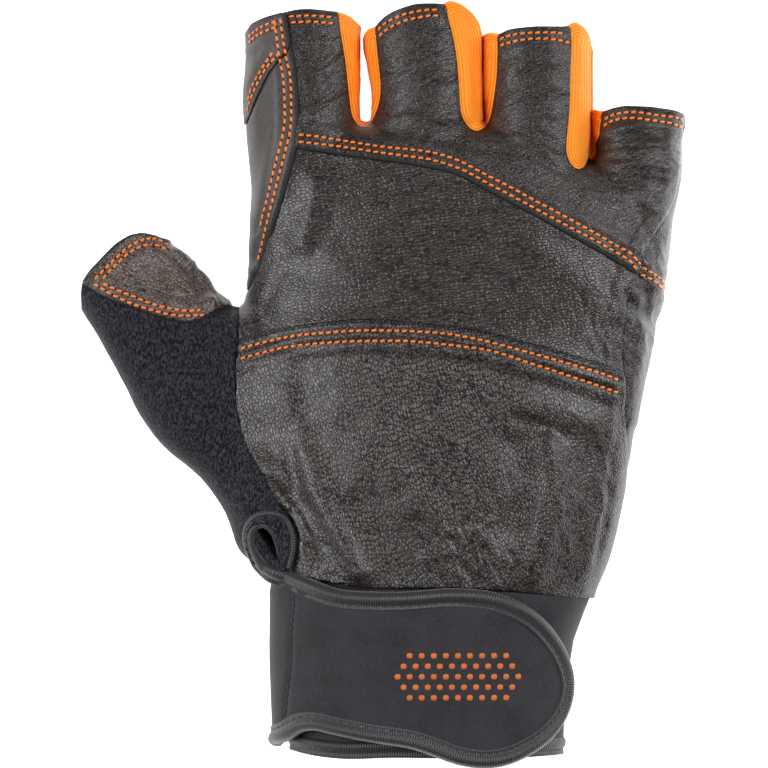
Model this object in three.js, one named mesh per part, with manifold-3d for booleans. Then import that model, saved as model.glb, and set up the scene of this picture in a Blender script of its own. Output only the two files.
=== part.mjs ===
// Half-finger climbing glove for a left hand, lying on its back with the palm up.
// Fingers point along +Y, the thumb points to -X, and the open stalls and cuff keep their worn form.

import * as THREE from 'three';
import { mergeVertices } from 'three/addons/utils/BufferGeometryUtils.js';
import Module from 'manifold-3d';

const wasm = await Module();
wasm.setup();

// Driving sizes in millimetres. The origin of these sizes is the wrist seam.
const HAND_WIDTH = 108; // over the four finger stalls
const HAND_LENGTH = 117; // wrist seam to the fork between the fingers
const HAND_DEPTH = 38; // back to palm, at the thickest place
const STALL_LENGTH = 29.5; // fork to the hem of the longest stall
const THUMB_REACH = 38.5; // root of the thumb to its hem
const WRIST_WIDTH = 78;
const WRIST_DEPTH = 37;
const CUFF_LENGTH = 41.5;
const HAND_WALL = 1.5; // leather, knit and back cloth
const THUMB_WALL = 2; // brushed cloth and leather of the thumb
const NEOPRENE = 2.6; // cuff and strap
const HOOK_PATCH = 1.2; // hook-and-loop between strap and cuff
const BINDING_WIDTH = 4.7; // edge tape, as seen from above
const BINDING_SWELL = 0.7; // edge tape beyond each face of what it binds
const SLIT_WIDTH = 5; // the small slit at the root of the thumb
const SLIT_LENGTH = 8.5;
const SLIT_BINDING = 3; // width of its edge tape
const FOLD_HEIGHT = 2.4; // deepest crease of the heel leather
const FOLD_WIDTH = 7;
const PRESSED = 2; // how far the back of hand and cuff is pressed flat where it rests
const GAP = 0.3; // between neighbouring pieces

const SQUARENESS = 2.35; // 2 is an ellipse, more is boxier
const SIDE_SEAM = 0.45; // height where front and back leather meet, as a share of the hand's depth
const STRAP_LOW = 0.5; // how far down the side the strap comes, as a share of the wrist's depth
const STALL_END = 2.2; // where the uncut stalls end, past their hems
const PAST_TIPS = 1.5 * STALL_END; // where the gussets' cutting outlines end
const PALM_SIDES = 36;
const STALL_SIDES = 16;
const THUMB_SIDES = 18;
const LINING_SIDES = 24; // the inner face of palm and cuff
const FORK_SIDES = 8; // the round bottom of a gusset
const SLIT_SIDES = 20;
const SEAM_STEPS = 2; // straight pieces between two rows of a seam's table
const REACH = 400; // how far cutting blocks run past the glove
const WRIST_CENTRE = 0.102 * HAND_WIDTH;

// Names the columns of a table written as rows of values.
function table(columns, ...rows) {
  return rows.map((row) => Object.fromEntries(columns.map((name, at) => [name, row[at]])));
}

// Palm sections. left and right are shares of the hand's width, along of its length,
// and high of its depth. The first row takes the wrist's own width and depth.
const PALM = table(
  ['along', 'left', 'right', 'high'],
  [0, (WRIST_CENTRE - 0.506 * WRIST_WIDTH) / HAND_WIDTH, (WRIST_CENTRE + 0.54 * WRIST_WIDTH) / HAND_WIDTH,
    WRIST_DEPTH / HAND_DEPTH],
  [0.08, -0.282, 0.526, 0.99],
  [0.22, -0.296, 0.558, 1],
  [0.42, -0.304, 0.598, 0.98],
  [0.62, -0.304, 0.645, 0.93],
  [0.8, -0.305, 0.673, 0.88],
  [0.92, -0.317, 0.69, 0.82],
  [1.03, -0.323, 0.697, 0.74],
);

// Finger stalls, one row each. They start narrow inside the palm at root and have their width from full on.
const STALLS = table(
  ['leftRoot', 'rightRoot', 'left', 'right', 'root', 'full', 'highRoot', 'lowTip', 'highTip'],
  [-0.27, -0.07, -0.323, -0.051, 0.6, 0.88, 0.76, 0.05, 0.73],
  [-0.03, 0.21, -0.041, 0.225, 0.66, 0.88, 0.83, 0.06, 0.76],
  [0.25, 0.46, 0.235, 0.477, 0.64, 0.88, 0.82, 0.06, 0.73],
  [0.48, 0.58, 0.481, 0.699, 0.5, 0.84, 0.74, 0.05, 0.66],
);
const STALL_LOW_ROOT = 0.16;

// Thumb sections from the wrist to past the hem: both ends of each in shares of the thumb's reach
// from its root, and heights in shares of the hand's depth.
const THUMB = table(
  ['leftX', 'leftY', 'rightX', 'rightY', 'low', 'high'],
  [0.24, -1.47, 0.61, -0.86, 0.1, 0.8],
  [0.025, -1.325, 0.545, -0.468, 0.04, 0.86],
  [-0.066, -1.084, 0.48, -0.013, 0.02, 0.88],
  [-0.234, -0.844, 0.35, 0.247, 0.02, 0.87],
  [-0.462, -0.649, 0.168, 0.312, 0.04, 0.85],
  [-0.624, -0.435, 0.012, 0.273, 0.06, 0.82],
  [-0.741, -0.195, -0.15, 0.364, 0.08, 0.8],
  [-0.884, 0.045, -0.286, 0.519, 0.1, 0.78],
  [-1.001, 0.234, -0.416, 0.662, 0.12, 0.77],
  [-1.14, 0.5, -0.62, 0.92, 0.14, 0.76],
);
const THUMB_ROOT = { across: -0.3435, along: 0.517 };

// Cuff sections: along in shares of the cuff's length, left and right of the wrist's width.
const CUFF = table(
  ['along', 'left', 'right', 'high'],
  [0, -0.462, 0.53, 1],
  [0.2, -0.458, 0.484, 1],
  [0.5, -0.455, 0.456, 0.99],
  [0.8, -0.45, 0.44, 0.98],
  [1, -0.445, 0.436, 0.97],
);

// Raised folds of the palm leather: ends in shares of the hand's width and length,
// height and width in shares of the fold sizes.
const FOLDS = table(
  ['fromX', 'fromY', 'toX', 'toY', 'height', 'width'],
  [-0.3, 0.38, -0.17, 0.17, 1, 1],
  [-0.17, 0.17, -0.09, 0.08, 0.9, 0.9],
  [-0.24, 0.47, -0.13, 0.45, 0.5, 0.9],
  [0.385, 0.3, 0.34, 0.09, 0.5, 0.8],
  [-0.19, 0.84, -0.225, 0.74, 0.6, 1.1],
);

// Seams and edges seen from above, as shares of the hand's width and length. From 1 on, along runs up
// the stalls. Each line is the near side of a region, and its corners close the region well outside.
const PLAN = ['across', 'along'];
const INDEX_SEAM = table(PLAN, [-0.23, 3], [-0.219, 1.864], [-0.196, 1.356], [-0.191, 0.951],
  [-0.219, 0.855], [-0.263, 0.735], [-0.311, 0.641]);
const INDEX_CORNERS = table(PLAN, [-0.37, 0.684], [-0.48, 1.03], [-0.48, 3]);
const CAP_SEAM = table(PLAN, [-0.15, 1.75], [-0.196, 1.695], [-0.251, 1.542], [-0.307, 1.22], [-0.334, 0.983]);
const CAP_CORNERS = table(PLAN, [-1, 0.98], [-1, 4], [-0.15, 4]);
const OUTER_SEAM = table(PLAN, [0.706, 1.3], [0.698, 0.994], [0.666, 0.823], [0.594, 0.679],
  [0.571, 0.513], [0.561, 0.417], [0.572, 0.28], [0.61, 0.1]);
const OUTER_CORNERS = table(PLAN, [1, -0.1], [1, 3], [0.706, 3]);
const FIRST_SEAM = table(PLAN, [-0.207, 0.936], [-0.01, 0.923], [0.221, 0.876], [0.453, 0.761],
  [0.594, 0.675], [0.656, 0.628], [0.8, 0.53]);
const FIRST_CORNERS = table(PLAN, [1, 0.5], [1, -2], [-1, -2], [-1, 0.936]);
const SECOND_SEAM = table(PLAN, [-0.39, 0.49], [-0.242, 0.547], [0.013, 0.566], [0.291, 0.524], [0.62, 0.42]);
const SECOND_CORNERS = table(PLAN, [1, 0.4], [1, -2], [-1, -2], [-1, 0.49]);
const THUMB_EDGE = table(PLAN, [-0.28, 0.72], [-0.334, 0.61], [-0.344, 0.44], [-0.318, 0.286],
  [-0.274, 0.16], [-0.245, -0.03]);
const THUMB_CORNERS = table(PLAN, [-0.245, -0.5], [-2, -0.5], [-2, 1], [-0.45, 1]);
const FORK = table(PLAN, [-0.043, 1.034], [0.226, 0.998], [0.406, 0.955], [0.45, 0.936], [0.73, 0.93]);
const FORK_CORNERS = table(PLAN, [1, 0.93], [1, -1], [-1, -1], [-1, 1.034]);

// Hem of the four stalls from the index finger to the little finger.
const HEM = table(PLAN, [-0.36, 1.6], [-0.325, 1.74], [-0.253, 1.9], [-0.14, 1.94], [-0.06, 1.8], [-0.046, 1.6],
  [-0.036, 1.76], [0.02, 1.91], [0.1, 1.985], [0.16, 1.985], [0.215, 1.82], [0.23, 1.62],
  [0.25, 1.7], [0.33, 1.79], [0.44, 1.82], [0.47, 1.72], [0.479, 1.4],
  [0.485, 1.06], [0.53, 1.11], [0.61, 1.125], [0.705, 1.07]);
const HEM_CORNERS = table(PLAN, [1, 1.07], [1, 4], [-1, 4], [-1, 1.6]);

// Gussets between the fingers: their two seams at the tips and at the fork.
const GUSSETS = table(
  ['leftTip', 'leftRoot', 'rightTip', 'rightRoot', 'root'],
  [-0.101, -0.071, -0.02, -0.02, 1.04],
  [0.147, 0.182, 0.262, 0.252, 1.02],
  [0.432, 0.42, 0.51, 0.492, 0.93],
);
const GUSSET_TIP = 1.95;

// Hem and leather seam of the thumb, in shares of the thumb's reach from its root.
const THUMB_HEM = table(PLAN, [-1.2, 0.22], [-0.99, 0.31], [-0.95, 0.48], [-0.857, 0.584], [-0.72, 0.71],
  [-0.597, 0.747], [-0.48, 0.71], [-0.42, 0.66]);
const THUMB_HEM_CORNERS = table(PLAN, [-0.3, 1], [-0.3, 3], [-4, 3], [-4, 0.22]);
const THUMB_SEAM = table(PLAN, [-1.15, 0.47], [-0.955, 0.409], [-0.735, 0.292], [-0.54, 0.221],
  [-0.351, 0.182], [-0.234, 0.195], [-0.11, 0.245], [0.08, 0.32]);
const THUMB_SEAM_CORNERS = table(PLAN, [1, 1], [1, 4], [-4, 4], [-4, 0.47]);

// Outlines of the strap and its hook patch, in shares of the wrist's width from its centre and of the
// cuff's length from the wrist seam.
const STRAP = table(PLAN, [-0.8, 0.09], [-0.46, 0.1], [-0.425, 0.13], [-0.348, 0.066], [-0.271, 0.018],
  [-0.1, 0], [0.056, 0.018], [0.19, 0.004], [0.328, -0.095], [0.437, -0.307], [0.469, -0.572],
  [0.412, -0.849], [0.29, -1.018], [0.133, -1.06], [-0.02, -0.964], [-0.216, -0.898], [-0.37, -0.843],
  [-0.457, -0.916], [-0.8, -0.92]);
const HOOK = table(PLAN, [0.1, -0.24], [0.3, -0.24], [0.37, -0.5], [0.3, -0.82], [0.1, -0.82]);

// Middle of the slit at the root of the thumb, in shares of the hand's width and length.
const SLIT_CENTRE = { across: -0.258, along: 0.111 };

// One smooth curve through four neighbouring values.
function blend([before, from, to, after], share) {
  const bend = 2 * before - 5 * from + 4 * to - after;
  const twist = 3 * from - before - 3 * to + after;
  return 0.5 * (2 * from + (to - before) * share + bend * share ** 2 + twist * share ** 3);
}

// A table with smooth rows added between its own.
function fill(rows, steps) {
  const names = Object.keys(rows[0]);
  const filled = [];
  for (let at = 0; at < rows.length - 1; at += 1) {
    const near = [-1, 0, 1, 2].map((shift) => rows[THREE.MathUtils.clamp(at + shift, 0, rows.length - 1)]);
    for (let step = 0; step < steps; step += 1) {
      filled.push(Object.fromEntries(names.map((name) => [name, blend(near.map((row) => row[name]), step / steps)])));
    }
  }
  filled.push(rows.at(-1));
  return filled;
}

// Places on the plan, from shares of the hand, the thumb and the wrist.
function onHand({ across, along }) {
  const beyond = Math.max(along - 1, 0);
  return new THREE.Vector2(across * HAND_WIDTH, (along - beyond) * HAND_LENGTH + beyond * STALL_LENGTH);
}

function onThumb({ across, along }) {
  return onHand(THUMB_ROOT).add(new THREE.Vector2(across * THUMB_REACH, along * THUMB_REACH));
}

function onWrist({ across, along }) {
  return new THREE.Vector2(WRIST_CENTRE + across * WRIST_WIDTH, along * CUFF_LENGTH);
}

// Height of the raised folds over a place on the palm.
function foldHeight(x, y) {
  let height = 0;
  for (const fold of FOLDS) {
    const from = onHand({ across: fold.fromX, along: fold.fromY });
    const span = onHand({ across: fold.toX, along: fold.toY }).sub(from);
    const offset = new THREE.Vector2(x, y).sub(from);
    const share = THREE.MathUtils.clamp(offset.dot(span) / span.lengthSq(), 0, 1);
    const away = offset.sub(span.multiplyScalar(share)).length() / (fold.width * FOLD_WIDTH);
    height = Math.max(height, fold.height * FOLD_HEIGHT * Math.exp(-2 * away * away));
  }
  return height;
}

// A power that keeps the sign of its base, for superellipse sections.
function signedPower(value) {
  return Math.sign(value) * Math.abs(value) ** (2 / SQUARENESS);
}

// One closed oval section between two points of the plan, grown all round and flat where it meets the floor.
function ring({ left, right, low, high }, { sides, grow, floor, folded }) {
  const middle = left.clone().lerp(right, 0.5);
  const half = right.clone().sub(left).multiplyScalar(0.5);
  const out = half.clone().multiplyScalar(1 + grow / half.length());
  const centre = (low + high) / 2;
  const rise = (high - low) / 2 + grow;
  const points = [];
  for (let side = 0; side < sides; side += 1) {
    const angle = (2 * Math.PI * (side + 0.5)) / sides;
    const place = middle.clone().add(out.clone().multiplyScalar(signedPower(Math.cos(angle))));
    const fold = folded ? foldHeight(place.x, place.y) * Math.max(Math.sin(angle), 0) : 0;
    const z = centre + rise * signedPower(Math.sin(angle)) + fold;
    points.push(new THREE.Vector3(place.x, place.y, Math.max(z, floor)));
  }
  return points;
}

// A closed solid through a row of sections, with flat ends.
function loft(sections, settings) {
  const { sides } = settings;
  const rings = sections.map((section) => ring(section, settings));
  const points = rings.flat();
  const faces = [];
  for (let at = 0; at < rings.length - 1; at += 1) {
    for (let side = 0; side < sides; side += 1) {
      const here = at * sides + side;
      const beside = at * sides + ((side + 1) % sides);
      faces.push(here, here + sides, beside, beside, here + sides, beside + sides);
    }
  }
  const last = (rings.length - 1) * sides;
  for (let side = 1; side < sides - 1; side += 1) {
    faces.push(0, side, side + 1, last, last + side + 1, last + side);
  }
  const geometry = new THREE.BufferGeometry().setFromPoints(points);
  geometry.setIndex(faces);
  return solid(geometry);
}

// A geometry as a solid that can be joined and cut.
function solid(geometry) {
  geometry.deleteAttribute('normal');
  geometry.deleteAttribute('uv');
  const merged = mergeVertices(geometry);
  const vertProperties = new Float32Array(merged.attributes.position.array);
  const triVerts = new Uint32Array(merged.index.array);
  return new wasm.Manifold(new wasm.Mesh({ numProp: 3, vertProperties, triVerts }));
}

// How near a point comes to an outline.
function nearest(outline, point) {
  return Math.min(...outline.map((from, at) => {
    const span = outline[(at + 1) % outline.length].clone().sub(from);
    const away = point.clone().sub(from);
    const share = THREE.MathUtils.clamp(away.dot(span) / span.lengthSq(), 0, 1);
    return away.sub(span.multiplyScalar(share)).length();
  }));
}

// An outline moved out by a distance on every side, or in by a negative one. Points that tight corners
// would bring closer than that distance are left out.
function offset(outline, distance) {
  const turn = THREE.ShapeUtils.isClockWise(outline) ? -1 : 1;
  const moved = outline.map((point, at) => {
    const before = point.clone().sub(outline.at(at - 1)).normalize();
    const after = outline[(at + 1) % outline.length].clone().sub(point).normalize();
    const mitre = new THREE.Vector2(before.y + after.y, -before.x - after.x);
    return point.clone().add(mitre.multiplyScalar((turn * distance) / (1 + before.dot(after))));
  });
  return moved.filter((point) => nearest(outline, point) >= 0.98 * Math.abs(distance));
}

// An upright block over an outline.
function block(outline, low = -REACH, high = REACH) {
  const shape = new THREE.Shape(outline);
  const geometry = new THREE.ExtrudeGeometry(shape, { depth: high - low, bevelEnabled: false });
  return solid(geometry.translate(0, 0, low));
}

// A region of the plan: a smooth line through a table's rows, closed by far corners.
function region(place, line, corners) {
  return [...fill(line, SEAM_STEPS), ...corners].map(place);
}

// An ellipse on the plan.
function ellipse(centre, width, length) {
  return new THREE.EllipseCurve(centre.x, centre.y, width / 2, length / 2).getPoints(SLIT_SIDES).slice(1);
}

// A band across the whole glove, from one place along it to another.
function band(from, to) {
  return [[-REACH, from], [REACH, from], [REACH, to], [-REACH, to]].map(([x, y]) => new THREE.Vector2(x, y));
}

// Keeps what lies inside some outlines and outside others, with half a gap along each.
function cut(body, { inside = [], outside = [], low = -REACH, high = REACH }) {
  let kept = body;
  for (const outline of inside) {
    kept = kept.intersect(block(offset(outline, -GAP / 2), low, high));
  }
  for (const outline of outside) {
    kept = kept.subtract(block(offset(outline, GAP / 2)));
  }
  return kept;
}

// Sections of each tube, low end first.
function palmSections(steps = 3) {
  return fill(PALM, steps).map(({ along, left, right, high }) => ({
    left: onHand({ across: left, along }),
    right: onHand({ across: right, along }),
    low: -PRESSED,
    high: high * HAND_DEPTH,
  }));
}

function stallSections(stall) {
  const { leftRoot, rightRoot, left, right, root, full, highRoot, lowTip, highTip } = stall;
  const places = [
    [root, leftRoot, rightRoot, STALL_LOW_ROOT, highRoot],
    [full, left, right, 0, (highRoot + highTip) / 2],
    [STALL_END, left, right, lowTip, highTip],
  ];
  return places.map(([along, from, to, low, high]) => ({
    left: onHand({ across: from, along }),
    right: onHand({ across: to, along }),
    low: low * HAND_DEPTH,
    high: high * HAND_DEPTH,
  }));
}

function thumbSections(steps = 2) {
  return fill(THUMB, steps).map(({ leftX, leftY, rightX, rightY, low, high }) => ({
    left: onThumb({ across: leftX, along: leftY }),
    right: onThumb({ across: rightX, along: rightY }),
    low: low * HAND_DEPTH,
    high: high * HAND_DEPTH,
  }));
}

function cuffSections() {
  return fill(CUFF, 1).reverse().map(({ along, left, right, high }) => ({
    left: onWrist({ across: left, along: -along }),
    right: onWrist({ across: right, along: -along }),
    low: -PRESSED,
    high: high * WRIST_DEPTH,
  }));
}

// The same tube with its open end or ends run on along the glove.
function runOn(sections, before, after) {
  const moved = ({ left, right, low, high }, distance) => ({
    left: left.clone().add(new THREE.Vector2(0, distance)),
    right: right.clone().add(new THREE.Vector2(0, distance)),
    low,
    high,
  });
  const start = before ? [moved(sections[0], -before)] : [];
  const end = after ? [moved(sections.at(-1), after)] : [];
  return [...start, ...sections, ...end];
}

// Palm, stalls and thumb joined. The palm stops at the fork, the stalls and the thumb run past their hems.
function joinHand(palmTube, thumbTube, settings) {
  const fork = offset(region(onHand, FORK, FORK_CORNERS), settings.grow);
  let whole = palmTube.intersect(block(fork)).add(thumbTube);
  for (const stall of STALLS) {
    whole = whole.add(loft(stallSections(stall), { sides: STALL_SIDES, ...settings }));
  }
  return whole;
}

function handOutside() {
  const palm = loft(palmSections(), { sides: PALM_SIDES, grow: 0, floor: 0, folded: true });
  const thumb = loft(thumbSections(), { sides: THUMB_SIDES, grow: 0, floor: 0 });
  return joinHand(palm, thumb, { grow: 0, floor: 0 });
}

function handInside() {
  const sections = runOn(palmSections(1), CUFF_LENGTH, 0);
  const palm = loft(sections, { sides: LINING_SIDES, grow: -HAND_WALL, floor: HAND_WALL });
  const thumb = loft(thumbSections(1), { sides: THUMB_SIDES, grow: -THUMB_WALL, floor: HAND_WALL });
  return joinHand(palm, thumb, { grow: -HAND_WALL, floor: HAND_WALL });
}

function cuffTube(sides, grow, floor, runs) {
  return loft(runOn(cuffSections(), runs, runs), { sides, grow, floor });
}

// A skin over hand and cuff, between two distances from their surface.
function skin(under, over) {
  const grown = (grow) => loft(palmSections(), { sides: PALM_SIDES, grow, floor: 0, folded: true })
    .add(loft(thumbSections(), { sides: THUMB_SIDES, grow, floor: 0 }))
    .add(loft(runOn(cuffSections(), CUFF_LENGTH / 4, 0), { sides: PALM_SIDES, grow, floor: 0 }));
  return grown(over).subtract(grown(under));
}

const indexEdge = region(onHand, INDEX_SEAM, INDEX_CORNERS);
const capEdge = region(onHand, CAP_SEAM, CAP_CORNERS);
const outerEdge = region(onHand, OUTER_SEAM, OUTER_CORNERS);
const belowFirst = region(onHand, FIRST_SEAM, FIRST_CORNERS);
const belowSecond = region(onHand, SECOND_SEAM, SECOND_CORNERS);
const thumbSide = region(onHand, THUMB_EDGE, THUMB_CORNERS);
const thumbLeather = region(onThumb, THUMB_SEAM, THUMB_SEAM_CORNERS);
const beyondHem = [...HEM, ...HEM_CORNERS].map(onHand);
const beyondThumbHem = region(onThumb, THUMB_HEM, THUMB_HEM_CORNERS);

// A gusset's plan: down its left seam, round the fork and up its right seam.
function gussetRegion({ leftTip, leftRoot, rightTip, rightRoot, root }) {
  const left = onHand({ across: leftRoot, along: root });
  const right = onHand({ across: rightRoot, along: root });
  const radius = right.distanceTo(left) / 2;
  const bottom = new THREE.EllipseCurve(left.x + radius, left.y, radius, radius, Math.PI, 2 * Math.PI);
  const far = (tip, from) => THREE.MathUtils.lerp(from, tip, (PAST_TIPS - root) / (GUSSET_TIP - root));
  return [
    onHand({ across: far(leftTip, leftRoot), along: PAST_TIPS }),
    ...bottom.getPoints(FORK_SIDES),
    onHand({ across: far(rightTip, rightRoot), along: PAST_TIPS }),
  ];
}
const gussets = GUSSETS.map(gussetRegion);

const shell = cut(handOutside().subtract(handInside()), { outside: [beyondHem, beyondThumbHem] });
const slitCentre = onHand(SLIT_CENTRE);
const slit = ellipse(slitCentre, SLIT_WIDTH, SLIT_LENGTH);
const slitRim = offset(slit, SLIT_BINDING);
const sideSeam = SIDE_SEAM * HAND_DEPTH;
const front = { low: sideSeam + GAP / 2 };
const back = { high: sideSeam - GAP / 2 };
const everywhere = band(-REACH / 2, REACH / 2);

// The pieces, each cut from the shell or laid over it.
const pieces = {};
pieces.finger_front = cut(shell, {
  inside: [everywhere],
  outside: [indexEdge, outerEdge, belowFirst, ...gussets],
  ...front,
});
pieces.palm_patch = cut(shell, {
  inside: [belowFirst],
  outside: [indexEdge, outerEdge, belowSecond, thumbSide],
  ...front,
});
pieces.palm_heel = cut(shell, {
  inside: [belowSecond],
  outside: [indexEdge, outerEdge, thumbSide, slit],
  ...front,
});
pieces.back_panel = cut(shell, {
  inside: [everywhere],
  outside: [indexEdge, outerEdge, thumbSide, ...gussets],
  ...back,
});
pieces.index_side = cut(shell, { inside: [indexEdge], outside: [capEdge] });
pieces.index_cap = cut(shell, { inside: [indexEdge, capEdge] });
pieces.little_side = cut(shell, { inside: [outerEdge], outside: [belowFirst] });
pieces.outer_side = cut(shell, { inside: [outerEdge, belowFirst] });
gussets.forEach((gusset, at) => {
  pieces[`fourchette_${at + 1}`] = cut(shell, { inside: [gusset] });
});
const thumb = cut(shell, { inside: [thumbSide], outside: [indexEdge, slit] });
pieces.thumb_front = cut(thumb, { inside: [thumbLeather], ...front });
pieces.thumb_gusset = thumb.subtract(block(offset(thumbLeather, GAP / 2), sideSeam - GAP / 2));

const cuffEnd = -CUFF_LENGTH;
const cuffBound = cuffEnd + BINDING_WIDTH;
const tube = cuffTube(PALM_SIDES, 0, 0, 0).subtract(cuffTube(LINING_SIDES, -NEOPRENE, NEOPRENE, NEOPRENE));
pieces.wrist_cuff = tube.intersect(block(band(cuffBound + GAP, -GAP)));
pieces.cuff_binding = cuffTube(PALM_SIDES, BINDING_SWELL, 0, 0)
  .subtract(cuffTube(LINING_SIDES, -NEOPRENE - BINDING_SWELL, NEOPRENE + BINDING_SWELL, NEOPRENE))
  .intersect(block(band(cuffEnd - BINDING_WIDTH, cuffBound)));

const strapUnder = GAP + HOOK_PATCH + GAP;
const strapOver = strapUnder + NEOPRENE;
const strapOutline = fill(STRAP, SEAM_STEPS).map(onWrist);
const strapInside = offset(strapOutline, -BINDING_WIDTH);
const strapLow = STRAP_LOW * WRIST_DEPTH;
pieces.strap = skin(strapUnder, strapOver)
  .intersect(block(offset(strapInside, -GAP), strapLow));
pieces.strap_binding = skin(strapUnder - BINDING_SWELL, strapOver + BINDING_SWELL)
  .intersect(block(strapOutline, strapLow))
  .subtract(block(strapInside));
pieces.hook_patch = skin(GAP, GAP + HOOK_PATCH).intersect(block(fill(HOOK, SEAM_STEPS).map(onWrist), strapLow));
pieces.slit_binding = skin(GAP, GAP + NEOPRENE).intersect(block(slitRim, strapLow)).subtract(block(slit));

// What each piece is made of.
const MATERIALS = {
  leather: { color: 0x48423f, roughness: 0.5 },
  side_leather: { color: 0x55504f, roughness: 0.6 },
  knit: { color: 0xf9862a, roughness: 0.75 },
  brushed: { color: 0x34343a, roughness: 0.95 },
  neoprene: { color: 0x39393e, roughness: 0.85 },
  tape: { color: 0x37353a, roughness: 0.8 },
  stretch: { color: 0x2b2b2e, roughness: 0.9 },
  hook: { color: 0x232325, roughness: 0.9 },
};
const MADE_OF = {
  finger_front: 'leather',
  palm_patch: 'leather',
  palm_heel: 'leather',
  back_panel: 'stretch',
  index_side: 'side_leather',
  index_cap: 'side_leather',
  little_side: 'leather',
  outer_side: 'leather',
  fourchette_1: 'knit',
  fourchette_2: 'knit',
  fourchette_3: 'knit',
  thumb_front: 'leather',
  thumb_gusset: 'brushed',
  wrist_cuff: 'neoprene',
  cuff_binding: 'tape',
  strap: 'neoprene',
  strap_binding: 'tape',
  hook_patch: 'hook',
  slit_binding: 'tape',
};

// Named meshes, with the glove's box centred over the origin and its back at height 0.
const group = new THREE.Group();
for (const [name, piece] of Object.entries(pieces)) {
  const { vertProperties, triVerts } = piece.getMesh();
  const geometry = new THREE.BufferGeometry();
  geometry.setAttribute('position', new THREE.BufferAttribute(new Float32Array(vertProperties), 3));
  geometry.setIndex(new THREE.BufferAttribute(new Uint32Array(triVerts), 1));
  const mesh = new THREE.Mesh(geometry, new THREE.MeshStandardMaterial({ metalness: 0, ...MATERIALS[MADE_OF[name]] }));
  mesh.name = name;
  group.add(mesh);
}
const box = new THREE.Box3().setFromObject(group);
const middle = box.getCenter(new THREE.Vector3());
for (const mesh of group.children) {
  mesh.geometry.translate(-middle.x, -middle.y, -box.min.z);
}

export default group;
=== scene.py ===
# Half-finger climbing glove for the left hand. It lies on its back: palm to +Z, fingers to +Y, thumb to -X.
# Sizes are millimetres and become metres in each mesh. Plan places are pixels of the photograph.
import math

import bmesh
import bpy
import numpy as np
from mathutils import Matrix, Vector, noise
from mathutils.bvhtree import BVHTree


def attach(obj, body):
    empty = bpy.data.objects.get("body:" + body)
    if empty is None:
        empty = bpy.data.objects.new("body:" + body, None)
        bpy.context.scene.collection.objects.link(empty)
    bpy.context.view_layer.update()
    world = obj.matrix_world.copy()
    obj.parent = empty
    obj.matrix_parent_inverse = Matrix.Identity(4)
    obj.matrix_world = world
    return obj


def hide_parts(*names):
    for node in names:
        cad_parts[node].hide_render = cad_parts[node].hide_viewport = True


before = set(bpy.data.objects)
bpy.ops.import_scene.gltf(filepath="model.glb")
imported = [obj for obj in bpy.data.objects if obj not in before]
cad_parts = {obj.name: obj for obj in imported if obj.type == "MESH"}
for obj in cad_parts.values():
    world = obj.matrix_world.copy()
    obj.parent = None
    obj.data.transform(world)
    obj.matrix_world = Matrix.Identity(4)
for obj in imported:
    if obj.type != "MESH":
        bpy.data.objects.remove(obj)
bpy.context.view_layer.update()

# Floor, light and camera
# The glove lies on a plain white table between two soft boxes, with a small lit sheet close on its right.
# The camera looks straight down on it from far away, so that nothing shows in perspective.
MM = 0.001  # metres in a millimetre
PHOTO_WIDE = 192.0  # what the picture shows across, at the height of the palm
PALM_HIGH = 25.0
CAMERA_HIGH = 2500.0
SENSOR = 36.0


def srgb(code):
    """A colour written as six hex digits, as the linear values that Blender takes."""
    parts = [int(code[at:at + 2], 16) / 255 for at in (0, 2, 4)]
    return [p / 12.92 if p <= 0.04045 else ((p + 0.055) / 1.055) ** 2.4 for p in parts] + [1.0]


def new_material(name):
    """An empty material with its shader already joined to the output."""
    material = bpy.data.materials.new(name)
    material.use_nodes = True
    tree = material.node_tree
    return material, tree, tree.nodes["Principled BSDF"]


def add_node(tree, kind, inputs=None, **settings):
    """Adds a node, sets its settings, and sets or links its inputs."""
    node = tree.nodes.new(kind)
    for name, value in settings.items():
        setattr(node, name, value)
    for socket, value in (inputs or {}).items():
        if isinstance(value, bpy.types.NodeSocket):
            tree.links.new(value, node.inputs[socket])
        else:
            node.inputs[socket].default_value = value
    return node


bpy.ops.object.select_all(action="DESELECT")
bpy.ops.mesh.primitive_plane_add(size=3.0, location=(0, 0, 0))
floor = bpy.context.object
floor.name = "table_top"
# Matt white laminate: it shows as an even white ground with no shine, and glows a little to stay white.
material, tree, shader = new_material("matt_white_table")
grain = add_node(tree, "ShaderNodeTexNoise", {"Scale": 40.0, "Detail": 3.0})
tint = add_node(tree, "ShaderNodeMix", {0: grain.outputs["Fac"], 6: srgb("ffffff"), 7: srgb("fdfdfd")},
                data_type="RGBA")
tree.links.new(tint.outputs[2], shader.inputs["Base Color"])
tree.links.new(tint.outputs[2], shader.inputs["Emission Color"])
shader.inputs["Emission Strength"].default_value = 1.0
shader.inputs["Roughness"].default_value = 0.9
floor.data.materials.append(material)

camera_data = bpy.data.cameras.new("overhead_camera")
camera_data.sensor_width = SENSOR
camera_data.lens = SENSOR * (CAMERA_HIGH - PALM_HIGH) / PHOTO_WIDE
camera_data.clip_end = 20.0
camera = bpy.data.objects.new("overhead_camera", camera_data)
camera.location = (0, 0, CAMERA_HIGH * MM)
bpy.context.collection.objects.link(camera)
bpy.context.scene.camera = camera
bpy.context.scene.view_settings.view_transform = "Standard"

world = bpy.data.worlds.new("white_studio")
world.use_nodes = True
world.node_tree.nodes["Background"].inputs["Color"].default_value = srgb("ffffff")
world.node_tree.nodes["Background"].inputs["Strength"].default_value = 0.12
bpy.context.scene.world = world


def add_light(name, place, aim, size, watts):
    """A square soft light at a place, in metres, turned towards a point."""
    data = bpy.data.lights.new(name, "AREA")
    data.size = size
    data.energy = watts
    light = bpy.data.objects.new(name, data)
    light.location = place
    light.rotation_euler = (Vector(aim) - Vector(place)).to_track_quat("-Z", "Y").to_euler()
    bpy.context.collection.objects.link(light)


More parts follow.
